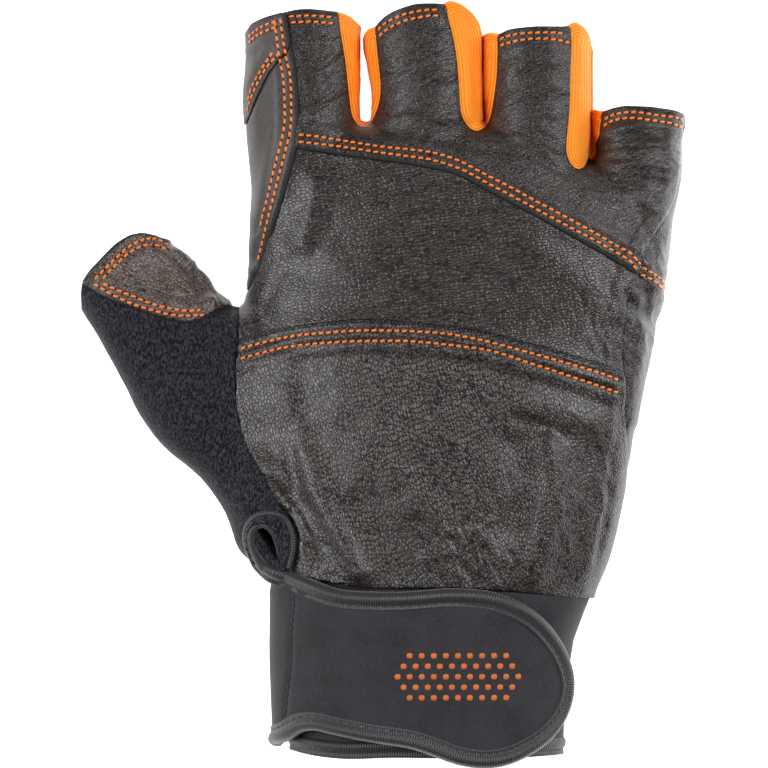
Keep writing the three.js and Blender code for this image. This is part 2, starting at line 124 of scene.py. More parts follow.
# The soft boxes stand about 43 degrees off the camera's axis, so leather shines where it tilts by half that.
add_light("soft_box_left", (-0.8, 0.06, 0.85), (0, 0, 0), 0.62, 12.2)
add_light("soft_box_right", (0.8, 0.35, 0.85), (0, 0, 0.02), 0.62, 13.0)
add_light("lit_sheet_right", (0.235, 0, 0.0015), (0.235, 0, 1), 0.31, 0.5)

# The form of the glove
# A worn glove keeps the shape of the hand: a broad palm tube, four open finger stalls and a wide thumb
# that points up and left. The panels are all cut from this one smooth form, as if it were the last.
PIXEL = 0.25
PHOTO_CENTRE = (384.5, 384.0)
VOXEL = 0.62
SMOOTHINGS = 12
SQUARENESS = 2.35  # 2 is a plain oval, and more is boxier
SIDE_SEAM = 17.1  # height of the seam between the leather and the cloth of the back


def plan(*pixels):
    """Places seen in the photograph, in millimetres across and along the glove."""
    return np.array([((u - PHOTO_CENTRE[0]) * PIXEL, (PHOTO_CENTRE[1] - v) * PIXEL) for u, v in pixels])


def smooth(line, steps=5):
    """A smooth line through the given places."""
    ends = np.vstack([2 * line[0] - line[1], line, 2 * line[-1] - line[-2]])
    share = np.linspace(0, 1, steps, endpoint=False)[:, None]
    parts = []
    for a, b, c, d in zip(ends[:-3], ends[1:-2], ends[2:-1], ends[3:]):
        parts.append(0.5 * (2 * b + (c - a) * share + (2 * a - 5 * b + 4 * c - d) * share ** 2
                            + (3 * b - a - 3 * c + d) * share ** 3))
    return np.vstack(parts + [line[-1:]])


def curve(*pixels):
    """A smooth line through places of the photograph."""
    return smooth(plan(*pixels))


def power(value, exponent):
    """A power that keeps the sign of its value."""
    return np.sign(value) * np.abs(value) ** exponent


def ring(left, right, low, high, sides=48):
    """A boxy oval standing on the plan line from left to right, between two heights."""
    angle = np.linspace(0, 2 * math.pi, sides, endpoint=False)
    across = power(np.cos(angle), 2 / SQUARENESS)[:, None]
    up = power(np.sin(angle), 2 / SQUARENESS)
    left, right = np.array(left, float), np.array(right, float)
    place = (left + right) / 2 + (right - left) / 2 * across
    return np.column_stack([place, np.maximum((low + high) / 2 + (high - low) / 2 * up, 0)])


def loft(rings):
    """Points and faces of a closed skin over rings of equal sides."""
    sides = len(rings[0])
    faces = []
    for row in range(len(rings) - 1):
        for side in range(sides):
            near, far = row * sides + side, row * sides + (side + 1) % sides
            faces.append((near, far, far + sides, near + sides))
    faces.append(tuple(range(sides))[::-1])
    faces.append(tuple(range((len(rings) - 1) * sides, len(rings) * sides)))
    return np.vstack(rings), faces


def add_mesh(name, points, faces, **columns):
    """A new object from points in millimetres, with named values for each point."""
    mesh = bpy.data.meshes.new(name)
    mesh.from_pydata((np.asarray(points) * MM).tolist(), [], [tuple(face) for face in faces])
    for column, values in columns.items():
        layer = mesh.attributes.new(column, "FLOAT", "POINT")
        layer.data.foreach_set("value", np.asarray(values, np.float32))
    mesh.polygons.foreach_set("use_smooth", np.ones(len(mesh.polygons), bool))
    piece = bpy.data.objects.new(name, mesh)
    bpy.context.collection.objects.link(piece)
    return piece


def apply_modifier(piece, kind, **settings):
    """Adds a modifier to a piece and applies it."""
    bpy.ops.object.select_all(action="DESELECT")
    bpy.context.view_layer.objects.active = piece
    piece.select_set(True)
    modifier = piece.modifiers.new(kind.lower(), kind)
    for name, value in settings.items():
        setattr(modifier, name, value)
    bpy.ops.object.modifier_apply(modifier=modifier.name)


# along the glove, left, right, low and high, in millimetres
PALM_ROWS = np.array((
    (-58, -27.5, 51.5, 0, 36.5), (-51.5, -28.5, 53.1, 0, 37), (-42.1, -30.5, 56.8, 0, 37.6),
    (-25.8, -32, 60.3, 0, 38), (-2.4, -33.5, 64.6, 0, 37.2), (14, -36, 68.2, 0, 36),
    (21, -34.8, 69.7, 0, 35.3), (28, -32.9, 70.8, 0, 34.6), (42.1, -32.9, 72.7, 0, 33.4),
    (53, -33.6, 74, 0.3, 31.6), (60, -34, 74.8, 1.5, 29.5), (64, -34, 74.8, 4.5, 25), (66, -33, 74, 9, 18)))
PALM_SIDES = 96
# The palm's end slants back to the little finger: places across, and how far along the palm reaches there.
FORK_FROM = 42.0
FORKS = np.array(((20.0, 64.2), (36.0, 62.5), (46.0, 55.5), (52.0, 53.6)))
ROW_STEPS = 4
STALL_ROWS = {
    "index": ((18.7, -29.2, -7.6, 6, 29), (51.5, -33.6, -5.5, 3, 29), (64, -34.6, -6, 2, 28.6),
              (72, -34.9, -6.3, 2, 28.3), (84, -34.9, -6.2, 2, 28), (106, -36, -6.4, 2, 27.8)),
    "middle": ((25.7, -3.2, 22.7, 6, 31), (51.5, -4.4, 24.1, 3, 30), (66, -3.4, 24.1, 2, 29.4),
               (72, -2.8, 24.1, 2, 29.2), (80, -4, 24.1, 2, 29), (86, -5, 24.1, 2, 28.9),
               (106, -5.2, 24.1, 2, 28.8)),
    "ring": ((23.4, 27, 49.7, 6, 31), (51.5, 25.5, 51.2, 3, 29.6), (66, 25.4, 51.2, 2, 28.8),
             (87, 25.4, 51.4, 2, 28), (106, 25.4, 51.4, 2, 27.8)),
    "little": ((7, 51.8, 62.6, 6, 28), (46.8, 52.5, 73.6, 3, 27), (60, 52.5, 75, 2, 25.8),
               (68, 52.5, 75.8, 2, 25.2), (90, 52.5, 77.5, 2, 25)),
}
# left end and right end in pixels, low and high in millimetres
THUMB_ROWS = (
    ((272, 575), (330, 480), 3.8, 30), ((240, 552), (320, 420), 1.5, 32.7),
    ((226, 515), (310, 350), 0.8, 33.4), ((200, 478), (290, 310), 0.8, 33),
    ((165, 448), (262, 300), 1.5, 32.3), ((140, 415), (238, 306), 2.3, 31.2),
    ((122, 378), (213, 292), 3, 30.4), ((100, 341), (192, 268), 3.8, 29.6),
    ((82, 312), (172, 246), 4.6, 29.3), ((60, 271), (141, 206), 5.3, 29))

# The thumb's root is smoothed more than the rest, because leather bridges the fork between thumb and palm.
THUMB_ROOT = (282, 400)
ROOT_REACH = 30.0
ROOT_FADE = 10.0
ROOT_LOWEST = 6.0
ROOT_SMOOTHINGS = 90

palm_rings = []
for along, left, right, low, high in smooth(PALM_ROWS, ROW_STEPS):
    section = ring((left, along), (right, along), low, high, PALM_SIDES)
    fork = np.interp(section[:, 0], *FORKS.T)
    section[:, 1] += max(along - FORK_FROM, 0) * (fork - FORKS[0, 1]) / (FORKS[0, 1] - FORK_FROM)
    palm_rings.append(section)
tubes = [loft(palm_rings)]
for rows in STALL_ROWS.values():
    tubes.append(loft([ring((left, along), (right, along), low, high)
                       for along, left, right, low, high in smooth(np.array(rows, float), ROW_STEPS)]))
thumb_rows = smooth(np.array([[*plan(left)[0], *plan(right)[0], low, high]
                              for left, right, low, high in THUMB_ROWS]), ROW_STEPS)
tubes.append(loft([ring(row[:2], row[2:4], row[4], row[5]) for row in thumb_rows]))

parts = [add_mesh(f"form_{at}", *tube) for at, tube in enumerate(tubes)]
bpy.ops.object.select_all(action="DESELECT")
for part in parts:
    part.select_set(True)
bpy.context.view_layer.objects.active = parts[0]
bpy.ops.object.join()
bpy.ops.object.mode_set(mode="EDIT")
bpy.ops.mesh.select_all(action="SELECT")
bpy.ops.mesh.normals_make_consistent(inside=False)
bpy.ops.object.mode_set(mode="OBJECT")
last = bpy.context.object
apply_modifier(last, "REMESH", mode="VOXEL", voxel_size=VOXEL * MM)
apply_modifier(last, "SMOOTH", factor=0.5, iterations=SMOOTHINGS)
root = last.vertex_groups.new(name="thumb_root")
for vertex in last.data.vertices:
    far = math.dist(vertex.co.xy / MM, plan(THUMB_ROOT)[0])
    if vertex.co.z > ROOT_LOWEST * MM and far < ROOT_REACH:
        root.add([vertex.index], min(1.0, (ROOT_REACH - far) / ROOT_FADE), "REPLACE")
apply_modifier(last, "SMOOTH", factor=0.5, iterations=ROOT_SMOOTHINGS, vertex_group="thumb_root")
apply_modifier(last, "TRIANGULATE")


def read_mesh(piece):
    """Points in millimetres, normals and triangles of an object."""
    mesh = piece.data
    points = np.empty(len(mesh.vertices) * 3)
    normals = np.empty(len(mesh.vertices) * 3)
    corners = np.empty(len(mesh.loops), int)
    mesh.vertices.foreach_get("co", points)
    mesh.vertex_normals.foreach_get("vector", normals)
    mesh.loops.foreach_get("vertex_index", corners)
    return points.reshape(-1, 3) / MM, normals.reshape(-1, 3), corners.reshape(-1, 3)


form, form_normals, form_faces = read_mesh(last)
bpy.data.objects.remove(last)

# Seams, folds and edges
# Leather panels lap over their neighbours by a few millimetres and two rows of orange thread hold each
# lap. The palm leather has been worn, so it is folded at the root of the thumb and creased elsewhere.
INDEX_EDGE = curve((284, 6), (286, 22), (290, 46), (294, 68), (297, 100), (297, 129), (295, 148), (285, 187),
                   (275, 221), (263, 261), (254, 284))
CAP_EDGE = curve((300, 25), (288, 52), (279, 63), (270, 74), (262, 88), (254, 105), (246, 124))
OUTER_EDGE = curve((690, 100), (685, 120), (677, 193), (660, 226), (640, 256), (634, 281), (629, 296),
                   (624, 324), (622, 352), (623, 369), (624, 399), (627, 430), (629, 460), (626, 510),
                   (616, 560), (605, 610))
FIRST_EDGE = curve((280, 146), (297, 147), (337, 153), (380, 159), (409, 163), (456, 173), (491, 191),
                   (536, 215), (581, 240), (616, 260), (640, 276), (657, 291), (672, 306), (690, 330))
SECOND_EDGE = curve((215, 352), (240, 341), (266, 334), (296, 328), (355, 322), (391, 323), (434, 327),
                    (480, 333), (511, 341), (541, 349), (572, 358), (603, 367), (640, 382))
THUMB_EDGE = curve((262, 262), (257, 275), (249, 291), (240, 308), (238, 350), (236, 379), (237, 405),
                   (243, 436), (254, 459), (264, 474), (272, 490), (279, 503), (288, 514), (295, 524),
                   (299, 537), (299, 551), (296, 567), (296, 600))
THUMB_LEATHER_EDGE = curve((70, 274), (89, 285), (103, 294), (123, 303), (153, 314), (172, 320), (185, 322),
                           (200, 320), (215, 313), (232, 307), (252, 300))
HAND_END = curve((190, 590), (240, 580), (268, 578), (300, 577), (336, 582), (367, 587), (465, 588),
                 (526, 592), (572, 597), (603, 599), (660, 606))
FINGER_HEM = plan((215, 50), (240, 42), (245, 32), (251, 24), (265, 19), (284, 14), (298, 11), (310, 10.5),
                  (337, 13), (349, 17), (360, 26), (363, 36), (363.5, 60), (365, 36), (369, 30), (374, 29),
                  (382, 20), (391, 14), (404, 9), (417, 5.5), (435, 5), (446, 6), (450, 2.5), (460, 6),
                  (470, 14), (477, 24), (480, 36), (481.5, 60), (484, 38), (491, 34), (498, 36), (505, 32),
                  (513, 30), (536, 28), (559, 28), (571, 28), (575, 23), (583, 28), (589, 36), (592, 50),
                  (592.5, 118), (594, 110), (601, 113), (613, 109), (625, 107), (652, 108), (674, 111),
                  (687, 115), (730, 122))
THUMB_HEM = plan((50, 332), (80, 319), (82, 305), (82, 294), (84, 283), (92, 271), (104, 258), (117, 245),
                 (131, 236), (144, 233), (158, 236), (170, 244), (186, 252), (215, 240))
GUSSETS = {
    "fourchette_1": curve((337, -30), (339, 16), (346, 62), (349, 89), (352, 112), (356, 121), (362, 127),
                          (368, 125), (374, 117), (379, 104), (381, 86), (378, 54), (375, 20), (372, -30)),
    "fourchette_2": curve((446, -30), (447, 10), (453, 36), (457, 59), (459, 82), (461, 110), (466, 123),
                          (475, 130.5), (484, 128), (490, 119), (494, 100), (497, 77), (498, 54), (498, 36),
                          (498, -30)),
    "fourchette_3": curve((570, -30), (571, 27), (572, 45), (571, 71), (570, 107), (567, 139), (567, 154),
                          (572, 165), (579, 169), (586, 165), (593, 151), (599, 137), (601, 125), (602, 112),
                          (602, 60), (602, -30)),
}
FIRST_ROW = curve((298, 135), (319, 137), (337, 140), (355, 143), (380, 147), (409, 150), (432, 153),
                  (456, 160), (474, 169), (491, 178), (509, 187), (536, 202), (559, 214), (581, 226), (599, 236),
                  (616, 246), (631, 254), (640, 265))
INDEX_ROW = curve((281, 18), (284, 41), (287, 59), (291, 79), (292, 111), (291, 130), (287, 148), (280, 175),
                  (275, 195), (270, 214), (264, 239), (258, 262))
STITCH_ROWS = [
    FIRST_ROW,
    curve((298, 142), (337, 146.5), (380, 153), (409, 157), (430, 160), (454, 167), (472, 175), (489, 184.5),
          (507, 194), (533, 208), (556, 220.5), (578, 232), (597, 242), (613, 251), (628, 260), (637, 270)),
    curve((641, 267), (650, 272), (660, 278), (667, 286)),
    curve((640, 274), (649, 278), (658, 284), (665, 292)),
    curve((240, 349), (266, 342), (296, 336), (327, 333), (358, 331), (391, 331), (419, 332), (446, 334),
          (480, 340), (511, 348), (541, 356), (572, 365), (603, 374), (622, 382)),
    curve((240, 359), (266, 352), (296, 346), (342, 342), (391, 341), (419, 342), (465, 347), (495, 352),
          (526, 362), (557, 372), (587, 382), (622, 394)),
    INDEX_ROW,
    curve((275, 20), (278, 41), (280.5, 60), (284, 79), (285.5, 111), (284.5, 130), (280.5, 148),
          (273.5, 175), (269, 195), (264, 214), (260, 232)),
    curve((274, 52), (262, 70), (253, 86), (247.5, 104)),
    curve((281, 52), (277, 57), (268, 67), (259, 82), (251, 100), (247.5, 113)),
    curve((249, 36), (262, 27), (281, 20)),
    curve((249, 42), (262, 33), (281, 26)),
    curve((288, 17), (312, 16), (337, 18)),
    curve((290, 23), (312, 22), (338, 24)),
    curve((378, 31), (385, 24), (401, 16), (417, 12), (432, 10), (444, 12)),
    curve((379, 37), (387, 30), (403, 22), (419, 18), (435, 16), (445, 19)),
    curve((500, 40), (506, 37), (520, 34), (536, 33), (556, 33), (569, 35)),
    curve((500, 46), (509, 43), (527, 39.5), (545, 39), (556, 40), (570, 43)),
    curve((605, 119), (616, 114), (634, 112), (657, 115), (674, 117), (684, 120)),
    curve((604, 126), (615, 120), (634, 118), (656, 121), (670, 123), (684, 127)),
    curve((95, 280), (105, 270), (118, 257), (131, 246), (144, 240), (156, 239), (168, 245)),
    curve((103, 280), (111, 271), (123, 259), (133, 251), (144, 246), (156, 245), (167, 250)),
    curve((94, 283), (107, 291), (122, 299), (139, 306), (156, 311), (172, 315), (187, 316), (205, 315)),
    curve((103, 283), (120, 291), (133, 296), (150, 303), (164, 307), (178, 310), (192, 311), (207, 309)),
]
# line in pixels, height and half width in millimetres; a negative height is a valley
FOLDS = (
    (((238, 340), (235, 372), (236, 405), (244, 434)), -4.4, 8.5),
    (((288, 362), (291, 400), (298, 436)), 1.0, 3.2),
    (((298, 436), (312, 472), (325, 500)), 1.4, 3.2),
    (((314, 486), (331, 516), (346, 544), (360, 571)), 1.7, 2.8),
    (((372, 500), (388, 535), (398, 568)), -0.7, 4.0),
    (((262, 470), (286, 502), (304, 532), (316, 562)), -1.0, 1.6),
    (((282, 500), (294, 516), (306, 540)), 0.6, 0.8),
    (((518, 420), (540, 427), (560, 436)), -0.6, 2.0),
    (((548, 444), (553, 475), (551, 505), (543, 538), (534, 575)), 1.35, 3.4),
    (((514, 446), (522, 480), (516, 530)), -0.9, 4.6),
    (((590, 440), (588, 500), (572, 580)), -0.6, 4.0),
    (((525, 405), (560, 410), (600, 430)), 0.7, 4.4),
    (((290, 424), (312, 420), (334, 416)), 0.25, 2.6),
    (((420, 500), (440, 520), (448, 545)), 0.4, 3.0),
    (((392, 552), (402, 584)), 0.35, 1.5),
    (((424, 558), (434, 584)), 0.4, 1.4),
    (((452, 540), (462, 566), (478, 584)), -0.45, 1.4),
    (((474, 528), (492, 548), (498, 584)), 0.45, 1.8),
    (((316, 184), (311, 212), (302, 242)), 1.4, 3.4),
    (((330, 262), (352, 262), (372, 250)), 0.5, 4.0),
    (((260, 312), (400, 306), (540, 320)), -0.4, 3.6),
    (((520, 240), (560, 262), (604, 300)), 0.7, 6.0),
    (((612, 300), (616, 350), (622, 400), (612, 480), (598, 560)), -0.4, 2.0),
    (((636, 300), (640, 350), (634, 420)), 0.7, 2.2),
    (((648, 270), (657, 290)), 0.8, 2.0),
    (((626, 300), (650, 316), (668, 330)), -0.8, 1.8),
    (((604, 134), (640, 126), (684, 124)), 0.6, 1.4),
    (((596, 150), (640, 143), (684, 142)), -0.7, 1.4),
    (((594, 168), (640, 163), (678, 168)), 0.55, 1.3),
    (((592, 182), (640, 180), (670, 188)), -0.5, 1.3),
    (((588, 194), (630, 199), (662, 212)), 0.45, 1.4),
    (((484, 136), (520, 140), (562, 152)), 0.4, 1.2),
    (((474, 148), (520, 154), (566, 174)), -0.35, 1.2),
    (((384, 124), (416, 117), (456, 118)), 0.45, 1.3),
    (((388, 100), (418, 84), (450, 76)), 0.45, 1.4),
    (((384, 70), (412, 56), (440, 50)), 0.35, 1.4),
    (((506, 104), (530, 92), (566, 88)), 0.4, 1.5),
    (((506, 72), (530, 62), (566, 62)), 0.3, 1.4),
    (((302, 84), (318, 68), (338, 52)), 0.45, 1.2),
    (((304, 116), (324, 100), (344, 88)), 0.45, 1.2),
    (((148, 248), (168, 262), (186, 282), (196, 308)), 0.6, 0.9),
    (((153, 244), (176, 260), (194, 282), (205, 306)), -0.6, 0.8),
    (((160, 244), (184, 260), (202, 282), (213, 304)), 0.7, 0.9),
    (((170, 246), (192, 262), (209, 283), (221, 303)), -0.6, 0.8),
    (((182, 252), (201, 267), (217, 285), (229, 302)), 0.7, 0.9),
    (((196, 262), (212, 276), (226, 292)), -0.5, 0.8),
    (((120, 268), (146, 282), (168, 304)), 0.4, 2.4),
    (((120, 360), (150, 400), (186, 440)), 0.4, 5.0),
    (((110, 320), (150, 345), (200, 350)), -0.4, 3.0),
)
# centre and reach in pixels, length and width of the creases there in millimetres, their angle in degrees
# and their height in millimetres
CREASES = (
    ((640, 165), 42, 7.0, 1.7, 4, 0.36), ((545, 165), 50, 8.0, 1.7, 28, 0.26),
    ((420, 100), 46, 8.0, 1.7, -26, 0.24), ((415, 50), 40, 8.0, 1.7, -34, 0.2),
    ((535, 85), 46, 8.0, 1.7, -20, 0.24), ((322, 70), 40, 6.0, 1.6, -44, 0.24),
    ((450, 140), 40, 8.0, 1.8, 12, 0.26), ((470, 555), 46, 6.0, 1.9, 66, 0.34),
    ((320, 550), 40, 6.0, 1.7, 58, 0.3), ((200, 286), 36, 6.5, 1.6, 40, 0.4),
    ((650, 300), 70, 6.0, 2.4, 74, 0.3), ((390, 420), 110, 9.0, 3.4, 20, 0.14),
    ((280, 90), 50, 8.0, 3.0, 80, 0.12), ((560, 480), 80, 9.0, 3.0, 78, 0.16))
SLOW_WAVE, SLOW_LENGTH = 0.18, 16  # the leather's broad waves: height and length
QUICK_WAVE, QUICK_LENGTH = 0.12, 5
BEAD_RISE, BEAD_AT, BEAD_WIDE = 0.18, 2.2, 1.2  # leather swells beside each row of stitches
GROOVE_DEEP, GROOVE_WIDE = 0.3, 0.8  # and is pulled down along it


def distance(points, line):
    """How far each place lies from a line, seen from above."""
    best = np.full(len(points), np.inf)
    for start, end in zip(line[:-1], line[1:]):
        run = end - start
        share = np.clip(((points - start) @ run) / max(run @ run, 1e-9), 0, 1)
        best = np.minimum(best, np.hypot(*(points - start - share[:, None] * run).T))
    return best


def inside(points, *lines):
    """How far each place lies inside the outline that the lines make, and negative outside it."""
    outline = np.vstack([*lines, lines[0][:1]])
    within = np.zeros(len(points), bool)
    x, y = points.T
    for (x0, y0), (x1, y1) in zip(outline[:-1], outline[1:]):
        if y0 != y1:
            within ^= ((y0 > y) != (y1 > y)) & (x < x0 + (y - y0) * (x1 - x0) / (y1 - y0))
    return np.where(within, 1, -1) * distance(points, outline)


def smoothstep(value, start, end):
    """Nought before the start, 1 past the end, and a smooth rise between them."""
    share = np.clip((value - start) / (end - start), 0, 1)
    return share * share * (3 - 2 * share)


def bumps(points, longest, shortest, degrees, seed=0.0):
    """Smooth noise from -1 to 1, stretched along one direction of the plan."""
    turn = math.radians(degrees)
    along = (points[:, 0] * math.cos(turn) + points[:, 1] * math.sin(turn)) / longest
    across = (points[:, 1] * math.cos(turn) - points[:, 0] * math.sin(turn)) / shortest
    up = points[:, 2] / longest + seed
    return np.array([noise.noise(place) for place in np.column_stack([along, across, up]).tolist()])


above = form[:, :2]
palm_side = smoothstep(form[:, 2], 12, 20)
crest, valley = np.zeros(len(form)), np.zeros(len(form))
for line, height, half in FOLDS:
    rise = height * np.exp(-(distance(above, curve(*line)) / half) ** 2) * palm_side
    crest, valley = np.maximum(crest, rise), np.minimum(valley, rise)
relief = crest + valley
for centre, reach, longest, shortest, degrees, height in CREASES:
    far = np.hypot(*(above - plan(centre)[0]).T)
    near = far < reach * PIXEL * 1.3
    warp = form[near].copy()
    warp[:, 1] += 1.5 * bumps(warp, 9, 9, 0, 7.3)
    ridge = 1 - 2 * np.abs(bumps(warp, longest, shortest, -degrees))
    relief[near] += height * ridge * (1 - smoothstep(far[near], 0.7 * reach * PIXEL, 1.3 * reach * PIXEL))
relief += (SLOW_WAVE * bumps(form, SLOW_LENGTH, SLOW_LENGTH, 0, 3.1)
           + QUICK_WAVE * bumps(form, QUICK_LENGTH, QUICK_LENGTH, 0, 5.7))
seam_gap = np.full(len(form), 9.0)
facing = form[:, 2] > SIDE_SEAM
for row in STITCH_ROWS:
    near = facing & (above > row.min(0) - 3).all(1) & (above < row.max(0) + 3).all(1)
    seam_gap[near] = np.minimum(seam_gap[near], distance(above[near], row))
relief += (BEAD_RISE * np.exp(-((seam_gap - BEAD_AT) / BEAD_WIDE) ** 2)
           - GROOVE_DEEP * np.exp(-(seam_gap / GROOVE_WIDE) ** 2))
form += form_normals * relief[:, None]
hand = form, form_normals, form_faces

# Each field holds how far every point of the form lies inside one outline of the plan.
below = SIDE_SEAM - form[:, 2]
fields = {
    "index": inside(above, INDEX_EDGE, plan((239, 301), (222, 236), (100, 60), (100, -80), (284, -80))),
    "cap": inside(above, CAP_EDGE, plan((100, 124), (100, -80), (300, -80))),
    "outer": inside(above, OUTER_EDGE, plan((605, 700), (800, 700), (800, -50), (690, -50))),
    "first": inside(above, FIRST_EDGE, plan((800, 330), (800, 800), (0, 800), (0, 146))),
    "second": inside(above, SECOND_EDGE, plan((800, 382), (800, 800), (0, 800), (0, 352))),
    "thumb": inside(above, THUMB_EDGE, plan((303, 700), (0, 700), (0, 150), (230, 230), (262, 250))),
    "leather": inside(above, THUMB_LEATHER_EDGE, plan((252, 200), (0, 100), (0, 274))),
    "hem": inside(above, FINGER_HEM, plan((800, 122), (800, 800), (-50, 800), (-50, 50))),
    "thumb_hem": inside(above, THUMB_HEM, plan((228, 200), (228, -80), (800, -80), (800, 800), (-50, 800),
                                               (-50, 320))),
    "hand": inside(above, HAND_END, plan((800, 606), (800, -100), (-50, -100), (-50, 590))),
}
for name, outline in GUSSETS.items():
    fields[name] = inside(above, outline)
gusset = np.maximum.reduce([fields[name] for name in GUSSETS])
whole = np.minimum.reduce([fields["hem"], fields["thumb_hem"], fields["hand"]])

LEATHER = 1.0
LAP = 3.0
LAP_LIFT = 1.05
LAP_RUN = 6.0
EDGE_DROP, EDGE_WIDE = 0.4, 0.8
UNDER = 2.0  # how far a panel runs on under its neighbour


def lap(depth, lift=LAP_LIFT, run=LAP_RUN):
    """The rise of a panel's edge over the panel below it, where depth is the distance from its edge."""
    return (lift * (1 - smoothstep(depth, LAP, LAP + run))
            - EDGE_DROP * np.clip(1 - depth / EDGE_WIDE, 0, 1) ** 2)


def tuck(depth):
    """How far a panel dips where it runs on under its neighbour."""
    return -0.35 * smoothstep(depth, -0.6, 0.4)


def trim(sheet, keep, lift, marks):
    """Cuts a sheet where keep is nought. Gives faces and, by columns, place, normal, keep and the marks."""
    points, normals, triangles = sheet
    columns = np.column_stack([points + normals * lift[:, None], normals, keep, *marks])
    signs = keep[triangles] > 0
    count = signs.sum(1)
    mixed = (count == 1) | (count == 2)
    extra, split, made = [], [], {}

    def crossing(a, b):
        key = (a, b) if a < b else (b, a)
        if key not in made:
            share = keep[a] / (keep[a] - keep[b])
            made[key] = len(points) + len(extra)
            extra.append(columns[a] + share * (columns[b] - columns[a]))
        return made[key]

    for face, sign in zip(triangles[mixed].tolist(), signs[mixed]):
        odd = int(np.argmax(sign)) if sign.sum() == 1 else int(np.argmin(sign))
        first, second, third = face[odd], face[(odd + 1) % 3], face[(odd + 2) % 3]
        near, far = crossing(first, second), crossing(first, third)
        if sign.sum() == 1:
            split.append((first, near, far))
        else:
            split += [(near, second, third), (near, third, far)]
    faces = np.vstack([triangles[count == 3], np.array(split, int).reshape(-1, 3)])
    columns = np.vstack([columns, np.array(extra).reshape(-1, columns.shape[1])])
    used, faces = np.unique(faces, return_inverse=True)
    return faces.reshape(-1, 3), columns[used]


SHORTEST_CHAIN = 8


def edge_chains(faces, chosen):
    """The runs of a mesh's open edge that join chosen points, each as a list of points in order."""
    edges = np.sort(np.vstack([faces[:, [0, 1]], faces[:, [1, 2]], faces[:, [2, 0]]]), axis=1)
    edges, count = np.unique(edges, axis=0, return_counts=True)
    links = {}
    for a, b in edges[(count == 1) & chosen[edges].all(1)].tolist():
        links.setdefault(a, []).append(b)
        links.setdefault(b, []).append(a)
    chains = []
    for start in sorted(links, key=lambda point: len(links[point])):
        chain, here = [start], start
        while links[here]:
            after = links[here].pop()
            links[after].remove(here)
            chain.append(after)
            here = after
        if len(chain) > SHORTEST_CHAIN:
            chains.append(chain)
    return chains


def even(path, step):
    """A path of places, and what goes with each, taken again at even steps."""
    length = np.concatenate([[0], np.cumsum(np.linalg.norm(np.diff(path[:, :3], axis=0), axis=1))])
    at = np.linspace(0, length[-1], max(int(length[-1] / step), 2) + 1)
    return np.column_stack([np.interp(at, length, column) for column in path.T]), at


def relax(path, times):
    """Smooths a path and keeps its ends."""
    for _ in range(times):
        path[1:-1] = 0.5 * path[1:-1] + 0.25 * (path[:-2] + path[2:])
    return path


def sweep(name, path, ups, profile, closed=False, ribs=0.0, swell=1.0):
    """A closed body with one profile, carried along a path whose surface faces ups."""
    ahead = np.roll(path, -1, 0) - np.roll(path, 1, 0) if closed else np.gradient(path, axis=0)
    ahead /= np.linalg.norm(ahead, axis=1)[:, None]
    side = np.cross(ahead, ups)
    side /= np.linalg.norm(side, axis=1)[:, None]
    up = np.cross(side, ahead)
    size = (swell * (1 + ribs * np.where(np.arange(len(path)) % 2, 1, -1)))[:, None, None]
    rings = path[:, None] + size * (profile[None, :, :1] * side[:, None] + profile[None, :, 1:] * up[:, None])
    count, sides = rings.shape[:2]
    faces = []
    for row in range(count if closed else count - 1):
        for at in range(sides):
            near, far = row * sides, (row + 1) % count * sides
            faces.append((near + at, near + (at + 1) % sides, far + (at + 1) % sides, far + at))
    if not closed:
        faces += [tuple(range(sides))[::-1], tuple(range((count - 1) * sides, count * sides))]
    length = np.concatenate([[0], np.cumsum(np.linalg.norm(np.diff(path, axis=0), axis=1))])
    piece = add_mesh(name, rings.reshape(-1, 3), faces, along=np.repeat(length, sides))
    work = bmesh.new()
    work.from_mesh(piece.data)
    bmesh.ops.recalc_face_normals(work, faces=work.faces)
    work.to_mesh(piece.data)
    work.free()
    return piece


def oval(wide, high, sides=8):
    """The profile of a plain round cord, from its two half widths."""
    angle = np.linspace(0, 2 * math.pi, sides, endpoint=False)
    return np.column_stack([wide * np.cos(angle), high * np.sin(angle)])


def join_pieces(name, pieces):
    """Joins pieces into one object."""
    bpy.ops.object.select_all(action="DESELECT")
    for piece in pieces:
        piece.select_set(True)
    bpy.context.view_layer.objects.active = pieces[0]
    if len(pieces) > 1:
        bpy.ops.object.join()
    pieces[0].name = name
    return pieces[0]


def finish_piece(piece, material, slot, *nodes):
    """Gives a finished piece its material and its body, and hides the solids that it stands for. The slot is not
    used.
    """
    places = np.empty(len(piece.data.vertices) * 3)
    piece.data.vertices.foreach_get("co", places)
    places[2::3] = np.maximum(places[2::3], 0)
    piece.data.vertices.foreach_set("co", places)
    piece.data.materials.clear()
    piece.data.materials.append(material)
    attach(piece, "root")
    if nodes:
        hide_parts(*nodes)


def read_surface(piece):
    """Points in millimetres and faces of an object, for finding its surface from above."""
    mesh = piece.data
    points = np.empty(len(mesh.vertices) * 3)
    mesh.vertices.foreach_get("co", points)
    return points.reshape(-1, 3) / MM, [tuple(face.vertices) for face in mesh.polygons]


WELD = 0.04
SLIVER = 0.01
CRUMB = 150  # islands of fewer points are crumbs of the cut
ROLL_STEP = 0.5
sewn = []


